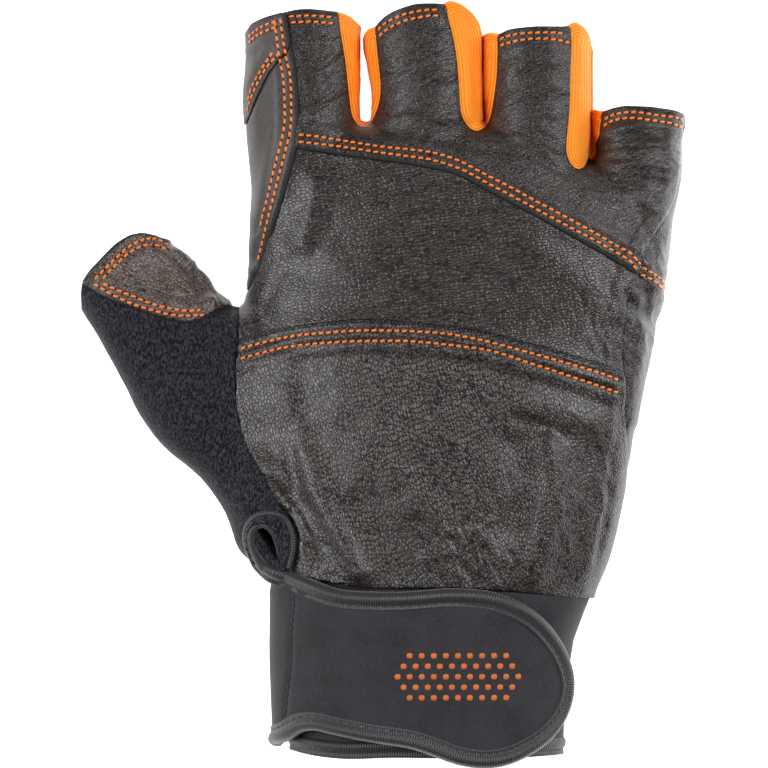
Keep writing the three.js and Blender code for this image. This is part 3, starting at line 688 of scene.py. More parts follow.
def sew_panel(name, keep, lift, wall, material, slot, *nodes, sheet=hand, thin=1.0, rolls=()):
    """Cuts one panel from a sheet, drops its crumbs, gives it a wall, and rolls the edges that are named."""
    faces, columns = trim(sheet, keep, lift, [mark for mark, *_ in rolls])
    piece = add_mesh(name, columns[:, :3], faces, edge=np.clip(columns[:, 6], 0, 10))
    work = bmesh.new()
    work.from_mesh(piece.data)
    bmesh.ops.remove_doubles(work, verts=work.verts, dist=WELD * MM)
    bmesh.ops.dissolve_degenerate(work, edges=work.edges, dist=SLIVER * MM)
    seen, crumbs = set(), []
    for vert in work.verts:
        island, wave = [], [] if vert in seen else [vert]
        seen.add(vert)
        while wave:
            here = wave.pop()
            island.append(here)
            for other in (edge.other_vert(here) for edge in here.link_edges):
                if other not in seen:
                    seen.add(other)
                    wave.append(other)
        if len(island) < CRUMB:
            crumbs += island
    bmesh.ops.delete(work, geom=crumbs, context="VERTS")
    work.to_mesh(piece.data)
    work.free()
    piece.data.polygons.foreach_set("use_smooth", np.ones(len(piece.data.polygons), bool))
    if thin < 1:
        apply_modifier(piece, "DECIMATE", ratio=thin)
    sewn.append(read_surface(piece))
    apply_modifier(piece, "SOLIDIFY", thickness=wall * MM, offset=-1, use_rim=True)
    finish_piece(piece, material, slot, *nodes)
    for at, (mark, radius, roll_material, roll_slot, what) in enumerate(rolls):
        made = []
        for chain in edge_chains(faces, np.abs(columns[:, 7 + at]) < 0.02):
            path, _ = even(columns[chain, :6], ROLL_STEP)
            path = relax(path, 4)
            made.append(sweep(f"{name}_{what}", path[:, :3] - 0.5 * wall * path[:, 3:], path[:, 3:],
                              oval(radius, radius)))
        if made:
            finish_piece(join_pieces(f"{name}_{what}", made), roll_material, roll_slot)


# Leather of the palm
# Black goat leather with a pebbled grain. It is glossy on the folds, where it has been rubbed, and
# browner in between. Its cut edges are turned under.
GRAIN_STRETCH = 1.6  # the pebbles are longer one way
STREAK = (3.4, 0.8, 0.8)
LEATHER_IOR = 1.5


def leather(name, dark, light, pebble, depth, shine, degrees=0.0, wrinkle=0.0):
    """Dyed leather, with the width of its pebbles and the depth of its bump in millimetres."""
    material, tree, shader = new_material(name)
    place = add_node(tree, "ShaderNodeTexCoord").outputs["Object"]
    grid = add_node(tree, "ShaderNodeMapping",
                    {"Vector": place, "Scale": (1 / MM, 1 / MM, 1 / MM)}).outputs[0]
    drift = add_node(tree, "ShaderNodeTexNoise", {"Vector": grid, "Scale": 0.3, "Detail": 2.0})
    bent = add_node(tree, "ShaderNodeVectorMath", {0: drift.outputs["Color"], 1: (0.6, 0.6, 0.6)},
                    operation="MULTIPLY")
    moved = add_node(tree, "ShaderNodeVectorMath", {0: grid, 1: bent.outputs[0]}, operation="ADD").outputs[0]
    lie = (0, 0, math.radians(degrees))
    turned = add_node(tree, "ShaderNodeMapping",
                      {"Vector": moved, "Rotation": lie, "Scale": (GRAIN_STRETCH * pebble, pebble, pebble)},
                      vector_type="TEXTURE").outputs[0]
    cells = add_node(tree, "ShaderNodeTexVoronoi", {"Vector": turned, "Scale": 1.0, "Randomness": 0.85},
                     feature="DISTANCE_TO_EDGE")
    domes = add_node(tree, "ShaderNodeMapRange",
                     {"Value": cells.outputs["Distance"], "From Min": 0.0, "From Max": 0.25},
                     interpolation_type="SMOOTHSTEP")
    creases = add_node(tree, "ShaderNodeTexNoise", {"Vector": turned, "Scale": 0.4, "Detail": 3.0})
    mottle = add_node(tree, "ShaderNodeTexNoise", {"Vector": grid, "Scale": 0.16, "Detail": 3.0})
    lines = add_node(tree, "ShaderNodeMapping", {"Vector": moved, "Rotation": lie, "Scale": STREAK},
                     vector_type="TEXTURE").outputs[0]
    streaks = add_node(tree, "ShaderNodeTexNoise", {"Vector": lines, "Scale": 1.0, "Detail": 2.0})
    pleat = add_node(tree, "ShaderNodeMath", {0: streaks.outputs["Fac"], 1: wrinkle}, operation="MULTIPLY")
    rough = add_node(tree, "ShaderNodeMath", {0: creases.outputs["Fac"], 1: 0.4, 2: pleat.outputs[0]},
                     operation="MULTIPLY_ADD")
    height = add_node(tree, "ShaderNodeMath", {0: domes.outputs[0], 1: rough.outputs[0]}, operation="ADD")
    bump = add_node(tree, "ShaderNodeBump",
                    {"Height": height.outputs[0], "Strength": 1.0, "Distance": depth * MM})
    patchy = add_node(tree, "ShaderNodeMapRange", {"Value": mottle.outputs["Fac"], "From Min": 0.3,
                                                   "From Max": 0.7, "To Min": 0.8, "To Max": 1.0})
    tone = add_node(tree, "ShaderNodeMath", {0: domes.outputs[0], 1: patchy.outputs[0]},
                    operation="MULTIPLY")
    colour = add_node(tree, "ShaderNodeMix", {0: tone.outputs[0], 6: srgb(dark), 7: srgb(light)},
                      data_type="RGBA")
    # Near black within a millimetre of the panel's cut edge: partly the edge's own dark colour, partly painted
    # shade where the panel laps its neighbour.
    edge = add_node(tree, "ShaderNodeAttribute", attribute_name="edge").outputs["Fac"]
    rim = add_node(tree, "ShaderNodeMapRange", {"Value": edge, "From Min": 0.1, "From Max": 0.9})
    dark_edge_and_shade = add_node(tree, "ShaderNodeMix", {0: rim.outputs[0], 6: srgb("0c0b0b"), 7: colour.outputs[2]},
                    data_type="RGBA")
    gloss = add_node(tree, "ShaderNodeMapRange", {"Value": mottle.outputs["Fac"], "To Min": shine - 0.04,
                                                  "To Max": shine + 0.06})
    tree.links.new(dark_edge_and_shade.outputs[2], shader.inputs["Base Color"])
    tree.links.new(gloss.outputs[0], shader.inputs["Roughness"])
    tree.links.new(bump.outputs[0], shader.inputs["Normal"])
    shader.inputs["IOR"].default_value = LEATHER_IOR
    return material


# Goat leather with a drummed grain: fine glossy pebbles with dark gaps, near black and a little brown.
patch_leather = leather("pebbled_goat_leather", "060505", "3c3431", 0.76, 0.06, 0.35, 8, 0.5)
heel_leather = leather("upright_pebbled_leather", "060505", "3c3431", 0.78, 0.06, 0.35, -66, 0.5)
# Thinner goat leather: a finer grain, drawn into soft streaks where the fingers bend it.
soft_leather = leather("thin_goat_leather", "080606", "3a322f", 0.5, 0.05, 0.35, 26, 5.5)
outer_leather = leather("outer_side_goat_leather", "080606", "3a312e", 0.55, 0.05, 0.33, -18, 2.0)
# Goat leather of the thumb's cap: painted paler and browner, a painted highlight where the gathered cap catches
# the light.
thumb_cap_leather = leather("thumb_cap_painted_highlight_leather", "1a1412", "66564f", 0.62, 0.05, 0.34, -40, 5.0)
# Smooth full-grain leather: even dark brown with hardly any grain.
side_leather = leather("smooth_side_leather", "251e1c", "3c322e", 0.5, 0.03, 0.45, 90)
# Cut edge of the heel's lap: a thin grey line of painted highlight along the raised edge, where the leather is
# cut and not turned under.
edge_highlight_leather = leather("leather_edge_painted_highlight", "25282a", "6d747a", 0.5, 0.08, 0.3)

# Each other lap is folded back on itself. The fold is a dull black roll along the panel's edge, darker than the
# leather: partly the turned edge, partly painted shadow beside the lap.
material, tree, shader = new_material("turned_edge_and_painted_shadow")
place = add_node(tree, "ShaderNodeTexCoord").outputs["Object"]
fibres = add_node(tree, "ShaderNodeTexNoise", {"Vector": place, "Scale": 1800.0, "Detail": 3.0})
colour = add_node(tree, "ShaderNodeMix", {0: fibres.outputs["Fac"], 6: srgb("050505"), 7: srgb("171617")},
                  data_type="RGBA")
bump = add_node(tree, "ShaderNodeBump",
                {"Height": fibres.outputs["Fac"], "Strength": 0.6, "Distance": 0.15 * MM})
tree.links.new(colour.outputs[2], shader.inputs["Base Color"])
tree.links.new(bump.outputs[0], shader.inputs["Normal"])
shader.inputs["Roughness"].default_value = 0.75
turned_edge_and_shadow = material

HEM_ROLL, FIRST_ROLL, SECOND_ROLL, INDEX_ROLL = 0.4, 0.6, 0.64, 0.62  # radius of each rolled edge
front = -below
hem_roll = (whole, HEM_ROLL, soft_leather, "goat_leather", "hem")
first_roll = (fields["first"], FIRST_ROLL, turned_edge_and_shadow, "goat_leather", "edge")
index_roll = (fields["index"], INDEX_ROLL, turned_edge_and_shadow, "goat_leather", "edge")
sew_panel("palm_patch_leather",
          np.minimum.reduce([whole, fields["first"] + LAP, -fields["second"] + LAP,
                             -fields["index"] + UNDER, -fields["outer"], -fields["thumb"], front]),
          lap(-fields["outer"], 0.5, 2.0) + lap(-fields["thumb"], 0.7, 3.0) * (fields["first"] > 0)
          + tuck(-fields["first"]) + tuck(fields["second"]) + tuck(fields["index"]),
          LEATHER, patch_leather, "goat_leather", "palm_patch")
sew_panel("palm_heel_leather",
          np.minimum.reduce([whole, fields["second"], -fields["outer"], -fields["thumb"], front]),
          lap(fields["second"]) + lap(-fields["outer"], 0.3, 2.0) + lap(-fields["thumb"], 0.3, 2.0),
          LEATHER, heel_leather, "goat_leather", "palm_heel",
          rolls=[(fields["second"], SECOND_ROLL, edge_highlight_leather, "side_leather", "edge")])
sew_panel("finger_front_leather",
          np.minimum.reduce([whole, -gusset, -fields["index"] + UNDER, -fields["first"], -fields["outer"],
                             front]),
          lap(-fields["first"]) + lap(-fields["outer"], 0.5, 2.0) + tuck(fields["index"]),
          LEATHER, soft_leather, "goat_leather", "finger_front",
          rolls=[hem_roll, first_roll])
sew_panel("outer_side_leather",
          np.minimum.reduce([whole, fields["outer"] + UNDER, fields["first"]]),
          tuck(-fields["outer"]), LEATHER, outer_leather, "goat_leather", "outer_side")
sew_panel("little_side_leather",
          np.minimum.reduce([whole, fields["outer"] + UNDER, -fields["first"]]),
          tuck(-fields["outer"]), LEATHER, outer_leather, "goat_leather", "little_side",
          rolls=[hem_roll])
sew_panel("index_side_leather",
          np.minimum.reduce([whole, fields["index"], -fields["cap"] + LAP]),
          lap(fields["index"]) + tuck(fields["cap"]), LEATHER, side_leather, "side_leather", "index_side",
          rolls=[index_roll])
sew_panel("index_cap_leather",
          np.minimum.reduce([whole, fields["index"], fields["cap"]]),
          lap(fields["index"]) + lap(fields["cap"], 0.6, 3.0) * 0.7,
          LEATHER, side_leather, "side_leather", "index_cap",
          rolls=[hem_roll, index_roll])

# Orange fourchettes
# A folded strip of orange knit joins the front and back of two fingers. It puffs out past the leather
# and its seam pulls it into fine ribs.
KNIT_RIB = 0.62
KNIT_HEM = 0.55
KNIT_UNDER = 1.2
PUFFS = (0.35, 0.95, 0.55)  # how far each strip stands out past the leather

# Polyamide knit: bright matt orange, with ribs that run along the seam and fade away from it.
material, tree, shader = new_material("orange_polyamide_knit")
edge = add_node(tree, "ShaderNodeAttribute", attribute_name="edge").outputs["Fac"]
turns = add_node(tree, "ShaderNodeMath", {0: edge, 1: 2 * math.pi / KNIT_RIB}, operation="MULTIPLY")
waves = add_node(tree, "ShaderNodeMath", {0: turns.outputs[0]}, operation="SINE")
fade = add_node(tree, "ShaderNodeMapRange", {"Value": edge, "From Min": 1.6, "From Max": 3.6, "To Min": 1.0,
                                             "To Max": 0.0})
ribs = add_node(tree, "ShaderNodeMath", {0: waves.outputs[0], 1: fade.outputs[0]}, operation="MULTIPLY")
place = add_node(tree, "ShaderNodeTexCoord").outputs["Object"]
knit = add_node(tree, "ShaderNodeTexNoise", {"Vector": place, "Scale": 2600.0, "Detail": 2.0})
height = add_node(tree, "ShaderNodeMath", {0: knit.outputs["Fac"], 1: 0.25, 2: ribs.outputs[0]},
                  operation="MULTIPLY_ADD")
bump = add_node(tree, "ShaderNodeBump",
                {"Height": height.outputs[0], "Strength": 0.6, "Distance": 0.1 * MM})
shade = add_node(tree, "ShaderNodeMapRange", {"Value": ribs.outputs[0], "From Min": -1.0, "From Max": 0.6})
colour = add_node(tree, "ShaderNodeMix", {0: shade.outputs[0], 6: srgb("e06a08"), 7: srgb("f8961c")},
                  data_type="RGBA")
tree.links.new(colour.outputs[2], shader.inputs["Base Color"])
tree.links.new(bump.outputs[0], shader.inputs["Normal"])
shader.inputs["Roughness"].default_value = 0.7
shader.inputs["Specular IOR Level"].default_value = 0.3
shader.inputs["Sheen Weight"].default_value = 0.1
orange_knit = material
for name, puff in zip(GUSSETS, PUFFS):
    depth = fields[name]
    sew_panel(f"{name}_knit", np.minimum(whole, depth + KNIT_UNDER),
              puff * smoothstep(depth, 0.2, 2.4) - 0.5 * (1 - smoothstep(depth, -0.6, 0.6)),
              LEATHER, orange_knit, "orange_knit", name,
              rolls=[(whole, KNIT_HEM, orange_knit, "orange_knit", "hem")])

# Stretch cloth of the back
# The back of the hand is one panel of black stretch cloth. It is pressed flat where the glove rests on it,
# and it runs in under the leather at both sides.
BACK_KEPT = 0.35  # share of the faces that plain cloth needs

# Polyester and elastane cloth: dull black with a fine even weave. Its threads are drawn 0.9 mm apart,
# because real ones are too fine to show.
THREADS = 350.0
material, tree, shader = new_material("black_stretch_cloth")
place = add_node(tree, "ShaderNodeTexCoord").outputs["Object"]
weave = add_node(tree, "ShaderNodeTexWave", {"Vector": place, "Scale": THREADS, "Distortion": 0.4})
weft = add_node(tree, "ShaderNodeTexWave", {"Vector": place, "Scale": THREADS, "Distortion": 0.4},
                bands_direction="Y")
height = add_node(tree, "ShaderNodeMath", {0: weave.outputs["Fac"], 1: weft.outputs["Fac"]},
                  operation="ADD")
bump = add_node(tree, "ShaderNodeBump",
                {"Height": height.outputs[0], "Strength": 0.4, "Distance": 0.1 * MM})
colour = add_node(tree, "ShaderNodeMix", {0: weave.outputs["Fac"], 6: srgb("161617"), 7: srgb("2a2a2d")},
                  data_type="RGBA")
tree.links.new(colour.outputs[2], shader.inputs["Base Color"])
tree.links.new(bump.outputs[0], shader.inputs["Normal"])
shader.inputs["Roughness"].default_value = 0.85
shader.inputs["Sheen Weight"].default_value = 0.2
stretch_cloth = material
sew_panel("back_cloth",
          np.minimum.reduce([whole, below + UNDER, -gusset, -fields["index"] + UNDER,
                             -fields["outer"] + UNDER, -fields["thumb"] + UNDER]),
          tuck(-below) + tuck(fields["index"]) + tuck(fields["outer"]) + tuck(fields["thumb"]),
          LEATHER, stretch_cloth, "stretch_cloth", "back_panel", thin=BACK_KEPT)

# Thumb
# Brushed black knit wraps the thumb and its root, and a leather cap is sewn over its front at the hem. The
# knit has a teardrop slit near the wrist, which its own section rims.
THUMB_CLOTH = 1.3
CLOTH_HEM = 0.7
CAP_LIFT, CAP_RUN, CAP_ROLL = 0.9, 3.0, 0.35
SLIT = curve((257.5, 529), (263, 526), (270, 526.5), (274, 533), (277, 545), (281, 555), (286, 563),
             (280, 558), (271, 548), (263, 538), (257.5, 529))
SLIT_LOWEST = SIDE_SEAM - 6

# Brushed polyester knit: soft and black, with short paler fibres that lie along the thumb.
material, tree, shader = new_material("brushed_black_knit")
place = add_node(tree, "ShaderNodeTexCoord").outputs["Object"]
grid = add_node(tree, "ShaderNodeMapping",
                {"Vector": place, "Scale": (1 / MM, 0.45 / MM, 0.7 / MM)}).outputs[0]
nap = add_node(tree, "ShaderNodeTexNoise",
               {"Vector": grid, "Scale": 2.2, "Detail": 4.0, "Roughness": 0.75})
shade = add_node(tree, "ShaderNodeMapRange",
                 {"Value": nap.outputs["Fac"], "From Min": 0.44, "From Max": 0.66})
colour = add_node(tree, "ShaderNodeMix", {0: shade.outputs[0], 6: srgb("08080a"), 7: srgb("42414a")},
                  data_type="RGBA")
bump = add_node(tree, "ShaderNodeBump",
                {"Height": nap.outputs["Fac"], "Strength": 0.8, "Distance": 0.3 * MM})
tree.links.new(colour.outputs[2], shader.inputs["Base Color"])
tree.links.new(bump.outputs[0], shader.inputs["Normal"])
shader.inputs["Roughness"].default_value = 0.95
shader.inputs["Specular IOR Level"].default_value = 0.15
shader.inputs["Sheen Weight"].default_value = 0.2
shader.inputs["Sheen Roughness"].default_value = 0.4
brushed_knit = material
thumb_leather = np.minimum(fields["leather"], front)
slit_field = np.where(form[:, 2] > SLIT_LOWEST, inside(above, SLIT), -9)
sew_panel("thumb_cloth",
          np.minimum.reduce([whole, fields["thumb"] + LAP, -fields["index"], -thumb_leather + LAP,
                             -slit_field]),
          tuck(-fields["thumb"]) + tuck(thumb_leather), THUMB_CLOTH, brushed_knit, "brushed_cloth",
          "thumb_gusset", rolls=[(whole, CLOTH_HEM, brushed_knit, "brushed_cloth", "hem")])
sew_panel("thumb_front_leather",
          np.minimum.reduce([whole, thumb_leather, fields["thumb"] + UNDER / 2, -fields["index"]]),
          lap(thumb_leather, CAP_LIFT, CAP_RUN), LEATHER, thumb_cap_leather, "goat_leather", "thumb_front",
          rolls=[hem_roll, (thumb_leather, CAP_ROLL, turned_edge_and_shadow, "goat_leather", "edge")])

# Wrist cuff
# The cuff is a tube of neoprene foam with a fine knit face, sewn inside the end of the hand. Its free
# edge is bound with ribbed tape.

# along the glove, left, right, low and high, in millimetres
CUFF_ROWS = np.array(((-45.0, -23.0, 50.5, 2.0, 34.0), (-52, -24.4, 52.2, 0, 36.4), (-57, -24.4, 50.2, 0, 37),
                      (-64, -24.3, 47.6, 0, 36.9), (-72, -24.1, 46.3, 0, 36.7), (-82, -23.9, 45.3, 0, 36.3),
                      (-92, -23.6, 44.9, 0, 35.9)))
CUFF_WALL = 2.6
CUFF_TOP, CUFF_END = -45, -91.5
CUFF_RINGS, CUFF_SIDES = 60, 120
CUFF_WAVE, CUFF_WAVE_LENGTH = 0.35, 14  # the foam's soft waves on the palm side
CUFF_WAVE_LOWEST = 10
SAG_FROM, SAG_RUN = -72, 18


def wrist_place(turn, along, lift=0.0):
    """Places and normals on the cuff: turn is nought on the right side and pi on the left."""
    rows = [np.interp(-along, -CUFF_ROWS[:, 0], column) for column in CUFF_ROWS.T[1:]]
    across = (rows[1] - rows[0]) / 2 + lift
    up = (rows[3] - rows[2]) / 2 + lift
    cosine, sine = np.cos(turn), np.sin(turn)
    places = np.column_stack([(rows[0] + rows[1]) / 2 + across * power(cosine, 2 / SQUARENESS), along,
                              np.maximum((rows[2] + rows[3]) / 2 + up * power(sine, 2 / SQUARENESS), 0)])
    slopes = np.column_stack([power(cosine, 2 - 2 / SQUARENESS) / across, 0 * along,
                              power(sine, 2 - 2 / SQUARENESS) / up])
    return places, slopes / np.linalg.norm(slopes, axis=1)[:, None]


def wrist_turn(places, lift):
    """The turn that has a place of the plan on the cuff's upper half."""
    left = np.interp(-places[:, 1], -CUFF_ROWS[:, 0], CUFF_ROWS[:, 1]) - lift
    right = np.interp(-places[:, 1], -CUFF_ROWS[:, 0], CUFF_ROWS[:, 2]) + lift
    share = np.clip((places[:, 0] - (left + right) / 2) / ((right - left) / 2), -1, 1)
    return np.arccos(power(share, SQUARENESS / 2))


def grid_faces(rows, columns, closed):
    """The faces of a grid of points, whose rows may close to a tube."""
    faces = []
    for row in range(rows - 1):
        for at in range(columns if closed else columns - 1):
            near, after = row * columns + at, row * columns + (at + 1) % columns
            faces.append((near, after, after + columns, near + columns))
    return faces


def hem_sag(across):
    """How far the cuff's lower edge lies above or below its straight line."""
    return 2.6 * np.exp(-((across + 27) / 7) ** 2) - 0.7 * np.exp(-((across + 9) / 8) ** 2)


# Neoprene foam with a nylon face: matt bluish black, with loops of knit 0.5 mm wide and faint clouding.
material, tree, shader = new_material("neoprene_with_knit_face")
place = add_node(tree, "ShaderNodeTexCoord").outputs["Object"]
grid = add_node(tree, "ShaderNodeMapping",
                {"Vector": place, "Scale": (1 / MM, 1 / MM, 1 / MM)}).outputs[0]
loops = add_node(tree, "ShaderNodeTexVoronoi", {"Vector": grid, "Scale": 2.0, "Randomness": 1.0})
cloud = add_node(tree, "ShaderNodeTexNoise", {"Vector": grid, "Scale": 0.12, "Detail": 3.0})
tone = add_node(tree, "ShaderNodeMath", {0: loops.outputs["Distance"], 1: 0.6, 2: cloud.outputs["Fac"]},
                operation="MULTIPLY_ADD")
ramp = add_node(tree, "ShaderNodeMapRange",
                {"Value": tone.outputs[0], "From Min": 0.3, "From Max": 1.0})
colour = add_node(tree, "ShaderNodeMix", {0: ramp.outputs[0], 6: srgb("101114"), 7: srgb("2a2a2f")},
                  data_type="RGBA")
bump = add_node(tree, "ShaderNodeBump",
                {"Height": loops.outputs["Distance"], "Strength": 0.35, "Distance": 0.1 * MM})
tree.links.new(colour.outputs[2], shader.inputs["Base Color"])
tree.links.new(bump.outputs[0], shader.inputs["Normal"])
shader.inputs["Roughness"].default_value = 0.75
shader.inputs["Specular IOR Level"].default_value = 0.3
shader.inputs["Sheen Weight"].default_value = 0.08
neoprene = material

turns = np.linspace(0, 2 * math.pi, CUFF_SIDES, endpoint=False)
alongs = np.linspace(CUFF_TOP, CUFF_END, CUFF_RINGS)
places, _ = wrist_place(np.tile(turns, CUFF_RINGS), np.repeat(alongs, CUFF_SIDES))
places[:, 2] += (CUFF_WAVE * bumps(places, CUFF_WAVE_LENGTH, CUFF_WAVE_LENGTH, 0, 2.2)
                 * (places[:, 2] > CUFF_WAVE_LOWEST))
places[:, 1] += hem_sag(places[:, 0]) * np.clip((SAG_FROM - places[:, 1]) / SAG_RUN, 0, 1)
cuff = add_mesh("cuff_tube", places, grid_faces(CUFF_RINGS, CUFF_SIDES, True))
apply_modifier(cuff, "SOLIDIFY", thickness=CUFF_WALL * MM, offset=-1, use_rim=True)
finish_piece(cuff, neoprene, "neoprene", "wrist_cuff")

# Ribbed binding tape
# A folded knit tape wraps the raw edges of the cuff, the strap and the slit. It is plump at the edge,
# with fine ribs across, and a dark row of stitches runs in the groove at its inner side.
TAPE_PROFILE = np.array(((-2.45, 0), (-2.3, 1.0), (-1.75, 1.85), (-0.9, 2.3), (0.0, 2.15), (0.7, 1.7),
                         (1.2, 1.5), (1.65, 1.62), (2.1, 1.7), (2.4, 1.45), (2.45, 0.2), (2.4, -1.0),
                         (1.5, -1.4), (0, -1.7), (-1.5, -1.6), (-2.3, -0.9)))
RIB_PITCH = 0.62
RIB_RISE = 0.01
CUFF_TAPE_AT = -90.6
CUFF_TAPE_STEPS = 700
CUFF_TAPE_WAVE = 0.3
CUFF_TAPE_HIGH = 0.85  # share of the tape's full thickness
CUFF_TAPE_LOWEST = 1.8

# Polyester knit tape: black with a soft sheen on its crown and fine darker gaps between the ribs.
material, tree, shader = new_material("ribbed_binding_tape")
along = add_node(tree, "ShaderNodeAttribute", attribute_name="along").outputs["Fac"]
turned = add_node(tree, "ShaderNodeMath", {0: along, 1: 2 * math.pi / RIB_PITCH}, operation="MULTIPLY")
wave = add_node(tree, "ShaderNodeMath", {0: turned.outputs[0]}, operation="SINE")
place = add_node(tree, "ShaderNodeTexCoord").outputs["Object"]
fuzz = add_node(tree, "ShaderNodeTexNoise", {"Vector": place, "Scale": 2200.0, "Detail": 4.0})
height = add_node(tree, "ShaderNodeMath", {0: fuzz.outputs["Fac"], 1: 1.2, 2: wave.outputs[0]},
                  operation="MULTIPLY_ADD")
bump = add_node(tree, "ShaderNodeBump",
                {"Height": height.outputs[0], "Strength": 0.45, "Distance": 0.1 * MM})
ramp = add_node(tree, "ShaderNodeMapRange",
                {"Value": height.outputs[0], "From Min": -0.8, "From Max": 1.6})
colour = add_node(tree, "ShaderNodeMix", {0: ramp.outputs[0], 6: srgb("030303"), 7: srgb("2c2b30")},
                  data_type="RGBA")
tree.links.new(colour.outputs[2], shader.inputs["Base Color"])
tree.links.new(bump.outputs[0], shader.inputs["Normal"])
shader.inputs["Roughness"].default_value = 0.48
shader.inputs["Sheen Weight"].default_value = 0.25
shader.inputs["Sheen Roughness"].default_value = 0.4
tape = material

cuff_turns = np.linspace(0, 2 * math.pi, CUFF_TAPE_STEPS, endpoint=False)
edge_path, edge_ups = wrist_place(cuff_turns, np.full(CUFF_TAPE_STEPS, CUFF_TAPE_AT), -CUFF_WALL / 2)
edge_path[:, 1] += CUFF_TAPE_WAVE * np.sin(3 * cuff_turns + 1.0) + hem_sag(edge_path[:, 0])
edge_path[:, 2] = np.maximum(edge_path[:, 2], CUFF_TAPE_LOWEST)
cuff_edge = sweep("cuff_edge_tape", edge_path, edge_ups, TAPE_PROFILE * (1, CUFF_TAPE_HIGH) * (-1, 1),
                  closed=True, ribs=RIB_RISE)
finish_piece(cuff_edge, tape, "edge_tape", "cuff_binding")

# Wrist strap
# A wide neoprene strap comes round the thumb side of the wrist and closes on the cuff with a hook patch
# under its rounded end. Tape binds its edge, and its upper tape runs on as a loop round the slit.
STRAP_LIFT = 1.8
STRAP_TOP, STRAP_END = -44, -95
STRAP_ROWS, STRAP_COLUMNS = 86, 150
STRAP_LINE = curve((288, 577.5), (300, 583), (316, 590), (340, 598), (375, 600.5), (410, 600), (446, 597),
                   (482, 598.5), (507, 605.5), (531, 619), (549, 639), (560, 660), (565, 683), (561, 706),
                   (549, 727), (531, 742), (506, 754), (482, 757), (458, 753), (434, 744), (410, 736.5),
                   (373, 731), (337, 724), (317, 719.5), (300, 722), (287, 731), (270, 738))
LOOP_LINE = curve((285, 556), (279, 543), (275, 531), (269, 523.5), (261, 521), (255, 525), (252.5, 533),
                  (254.5, 543.5), (260, 554), (268, 564.5), (277, 572))
# share of the tape's full width, by millimetres from the loop's end
LOOP_SLIM = ((0, 0.22), (12, 0.4), (19, 0.62), (25, 1.0))
LOOP_RISE = 1.0
STRAP_OUTLINE = np.vstack([plan((180, 574), (268, 576)), STRAP_LINE, plan((180, 738))])
SEAM_LINE = curve((294, 590), (294, 604), (292, 629), (291.5, 656), (290, 677), (286, 711), (285, 735))
SEAM_DEEP, SEAM_WIDE = 0.45, 0.7  # the groove of the seam across the strap's root
SEAM_LOWEST = 22
STRAP_WAVE = 0.3
HOOK_INSET, HOOK_FROM = 4, 20  # hook tape lies in from the strap's edge, under its rounded end
HOOK_THICK, HOOK_GAP = 1.2, 0.2

turns = np.linspace(0.0, math.pi, STRAP_COLUMNS)
alongs = np.linspace(STRAP_TOP, STRAP_END, STRAP_ROWS)
places, normals = wrist_place(np.tile(turns, STRAP_ROWS), np.repeat(alongs, STRAP_COLUMNS),
                              STRAP_LIFT + CUFF_WALL)
seam_gap = distance(places[:, :2], SEAM_LINE)
sag = -SEAM_DEEP * np.exp(-(seam_gap / SEAM_WIDE) ** 2) * (places[:, 2] > SEAM_LOWEST)
sag += STRAP_WAVE * bumps(places, 22, 12, 20, 4.4)
places += normals * sag[:, None]
quads = np.array(grid_faces(STRAP_ROWS, STRAP_COLUMNS, False))
band = places, normals, np.vstack([quads[:, [0, 1, 2]], quads[:, [0, 2, 3]]])
strap_field = inside(places[:, :2], STRAP_OUTLINE)
sew_panel("strap_neoprene", strap_field, np.zeros(len(places)), CUFF_WALL, neoprene, "neoprene", "strap",
          sheet=band)
strap_surface = BVHTree.FromPolygons(*sewn.pop())

outer_points, outer_faces, total = [], [], 0
for points, faces in sewn:
    outer_points.append(points)
    outer_faces += [tuple(corner + total for corner in face) for face in faces]
    total += len(points)
glove_surface = BVHTree.FromPolygons(np.vstack(outer_points).tolist(), outer_faces)

DROP_FROM = 90.0


def drop(surface, spots):
    """Drops places of the plan on to a surface from above, and gives the places and normals there."""
    found, ups = [], []
    for x, y in spots:
        hit, normal, _, _ = surface.ray_cast((x, y, DROP_FROM), (0, 0, -1))
        if hit is None:
            hit, normal, _, _ = surface.find_nearest((x, y, PALM_HIGH))
        if normal.z < 0:
            normal = -normal
        found.append(hit)
        ups.append(normal)
    return np.array(found), np.array(ups)


# The tape runs from the loop round the slit, along the strap's edge, and on round the side of the wrist.
strap_middle = STRAP_LIFT + CUFF_WALL / 2
strap_path, strap_ups = wrist_place(wrist_turn(STRAP_LINE, strap_middle), STRAP_LINE[:, 1], strap_middle)
round_turns = np.linspace(wrist_turn(STRAP_LINE[-1:], strap_middle)[0], math.pi * 1.02, 12)[1:]
round_path, round_ups = wrist_place(round_turns, np.full(len(round_turns), STRAP_LINE[-1, 1]), strap_middle)
loop_path, loop_ups = drop(glove_surface, LOOP_LINE)
loop_path += LOOP_RISE * loop_ups
tape_path = np.vstack([np.column_stack([loop_path, loop_ups]), np.column_stack([strap_path, strap_ups]),
                       np.column_stack([round_path, round_ups])])
tape_path, run = even(tape_path, RIB_PITCH / 2)
tape_path = relax(tape_path, 40)
strap_tape = sweep("strap_edge_tape", tape_path[:, :3], tape_path[:, 3:], TAPE_PROFILE, ribs=RIB_RISE,
                   swell=np.interp(run, *zip(*LOOP_SLIM)))
finish_piece(strap_tape, tape, "edge_tape", "strap_binding")

hook_field = np.minimum(strap_field - HOOK_INSET, places[:, 0] - HOOK_FROM)
sew_panel("hook_patch_pile", hook_field, np.full(len(places), -CUFF_WALL - HOOK_GAP), HOOK_THICK,
          stretch_cloth, "hook_tape", "hook_patch", sheet=band)

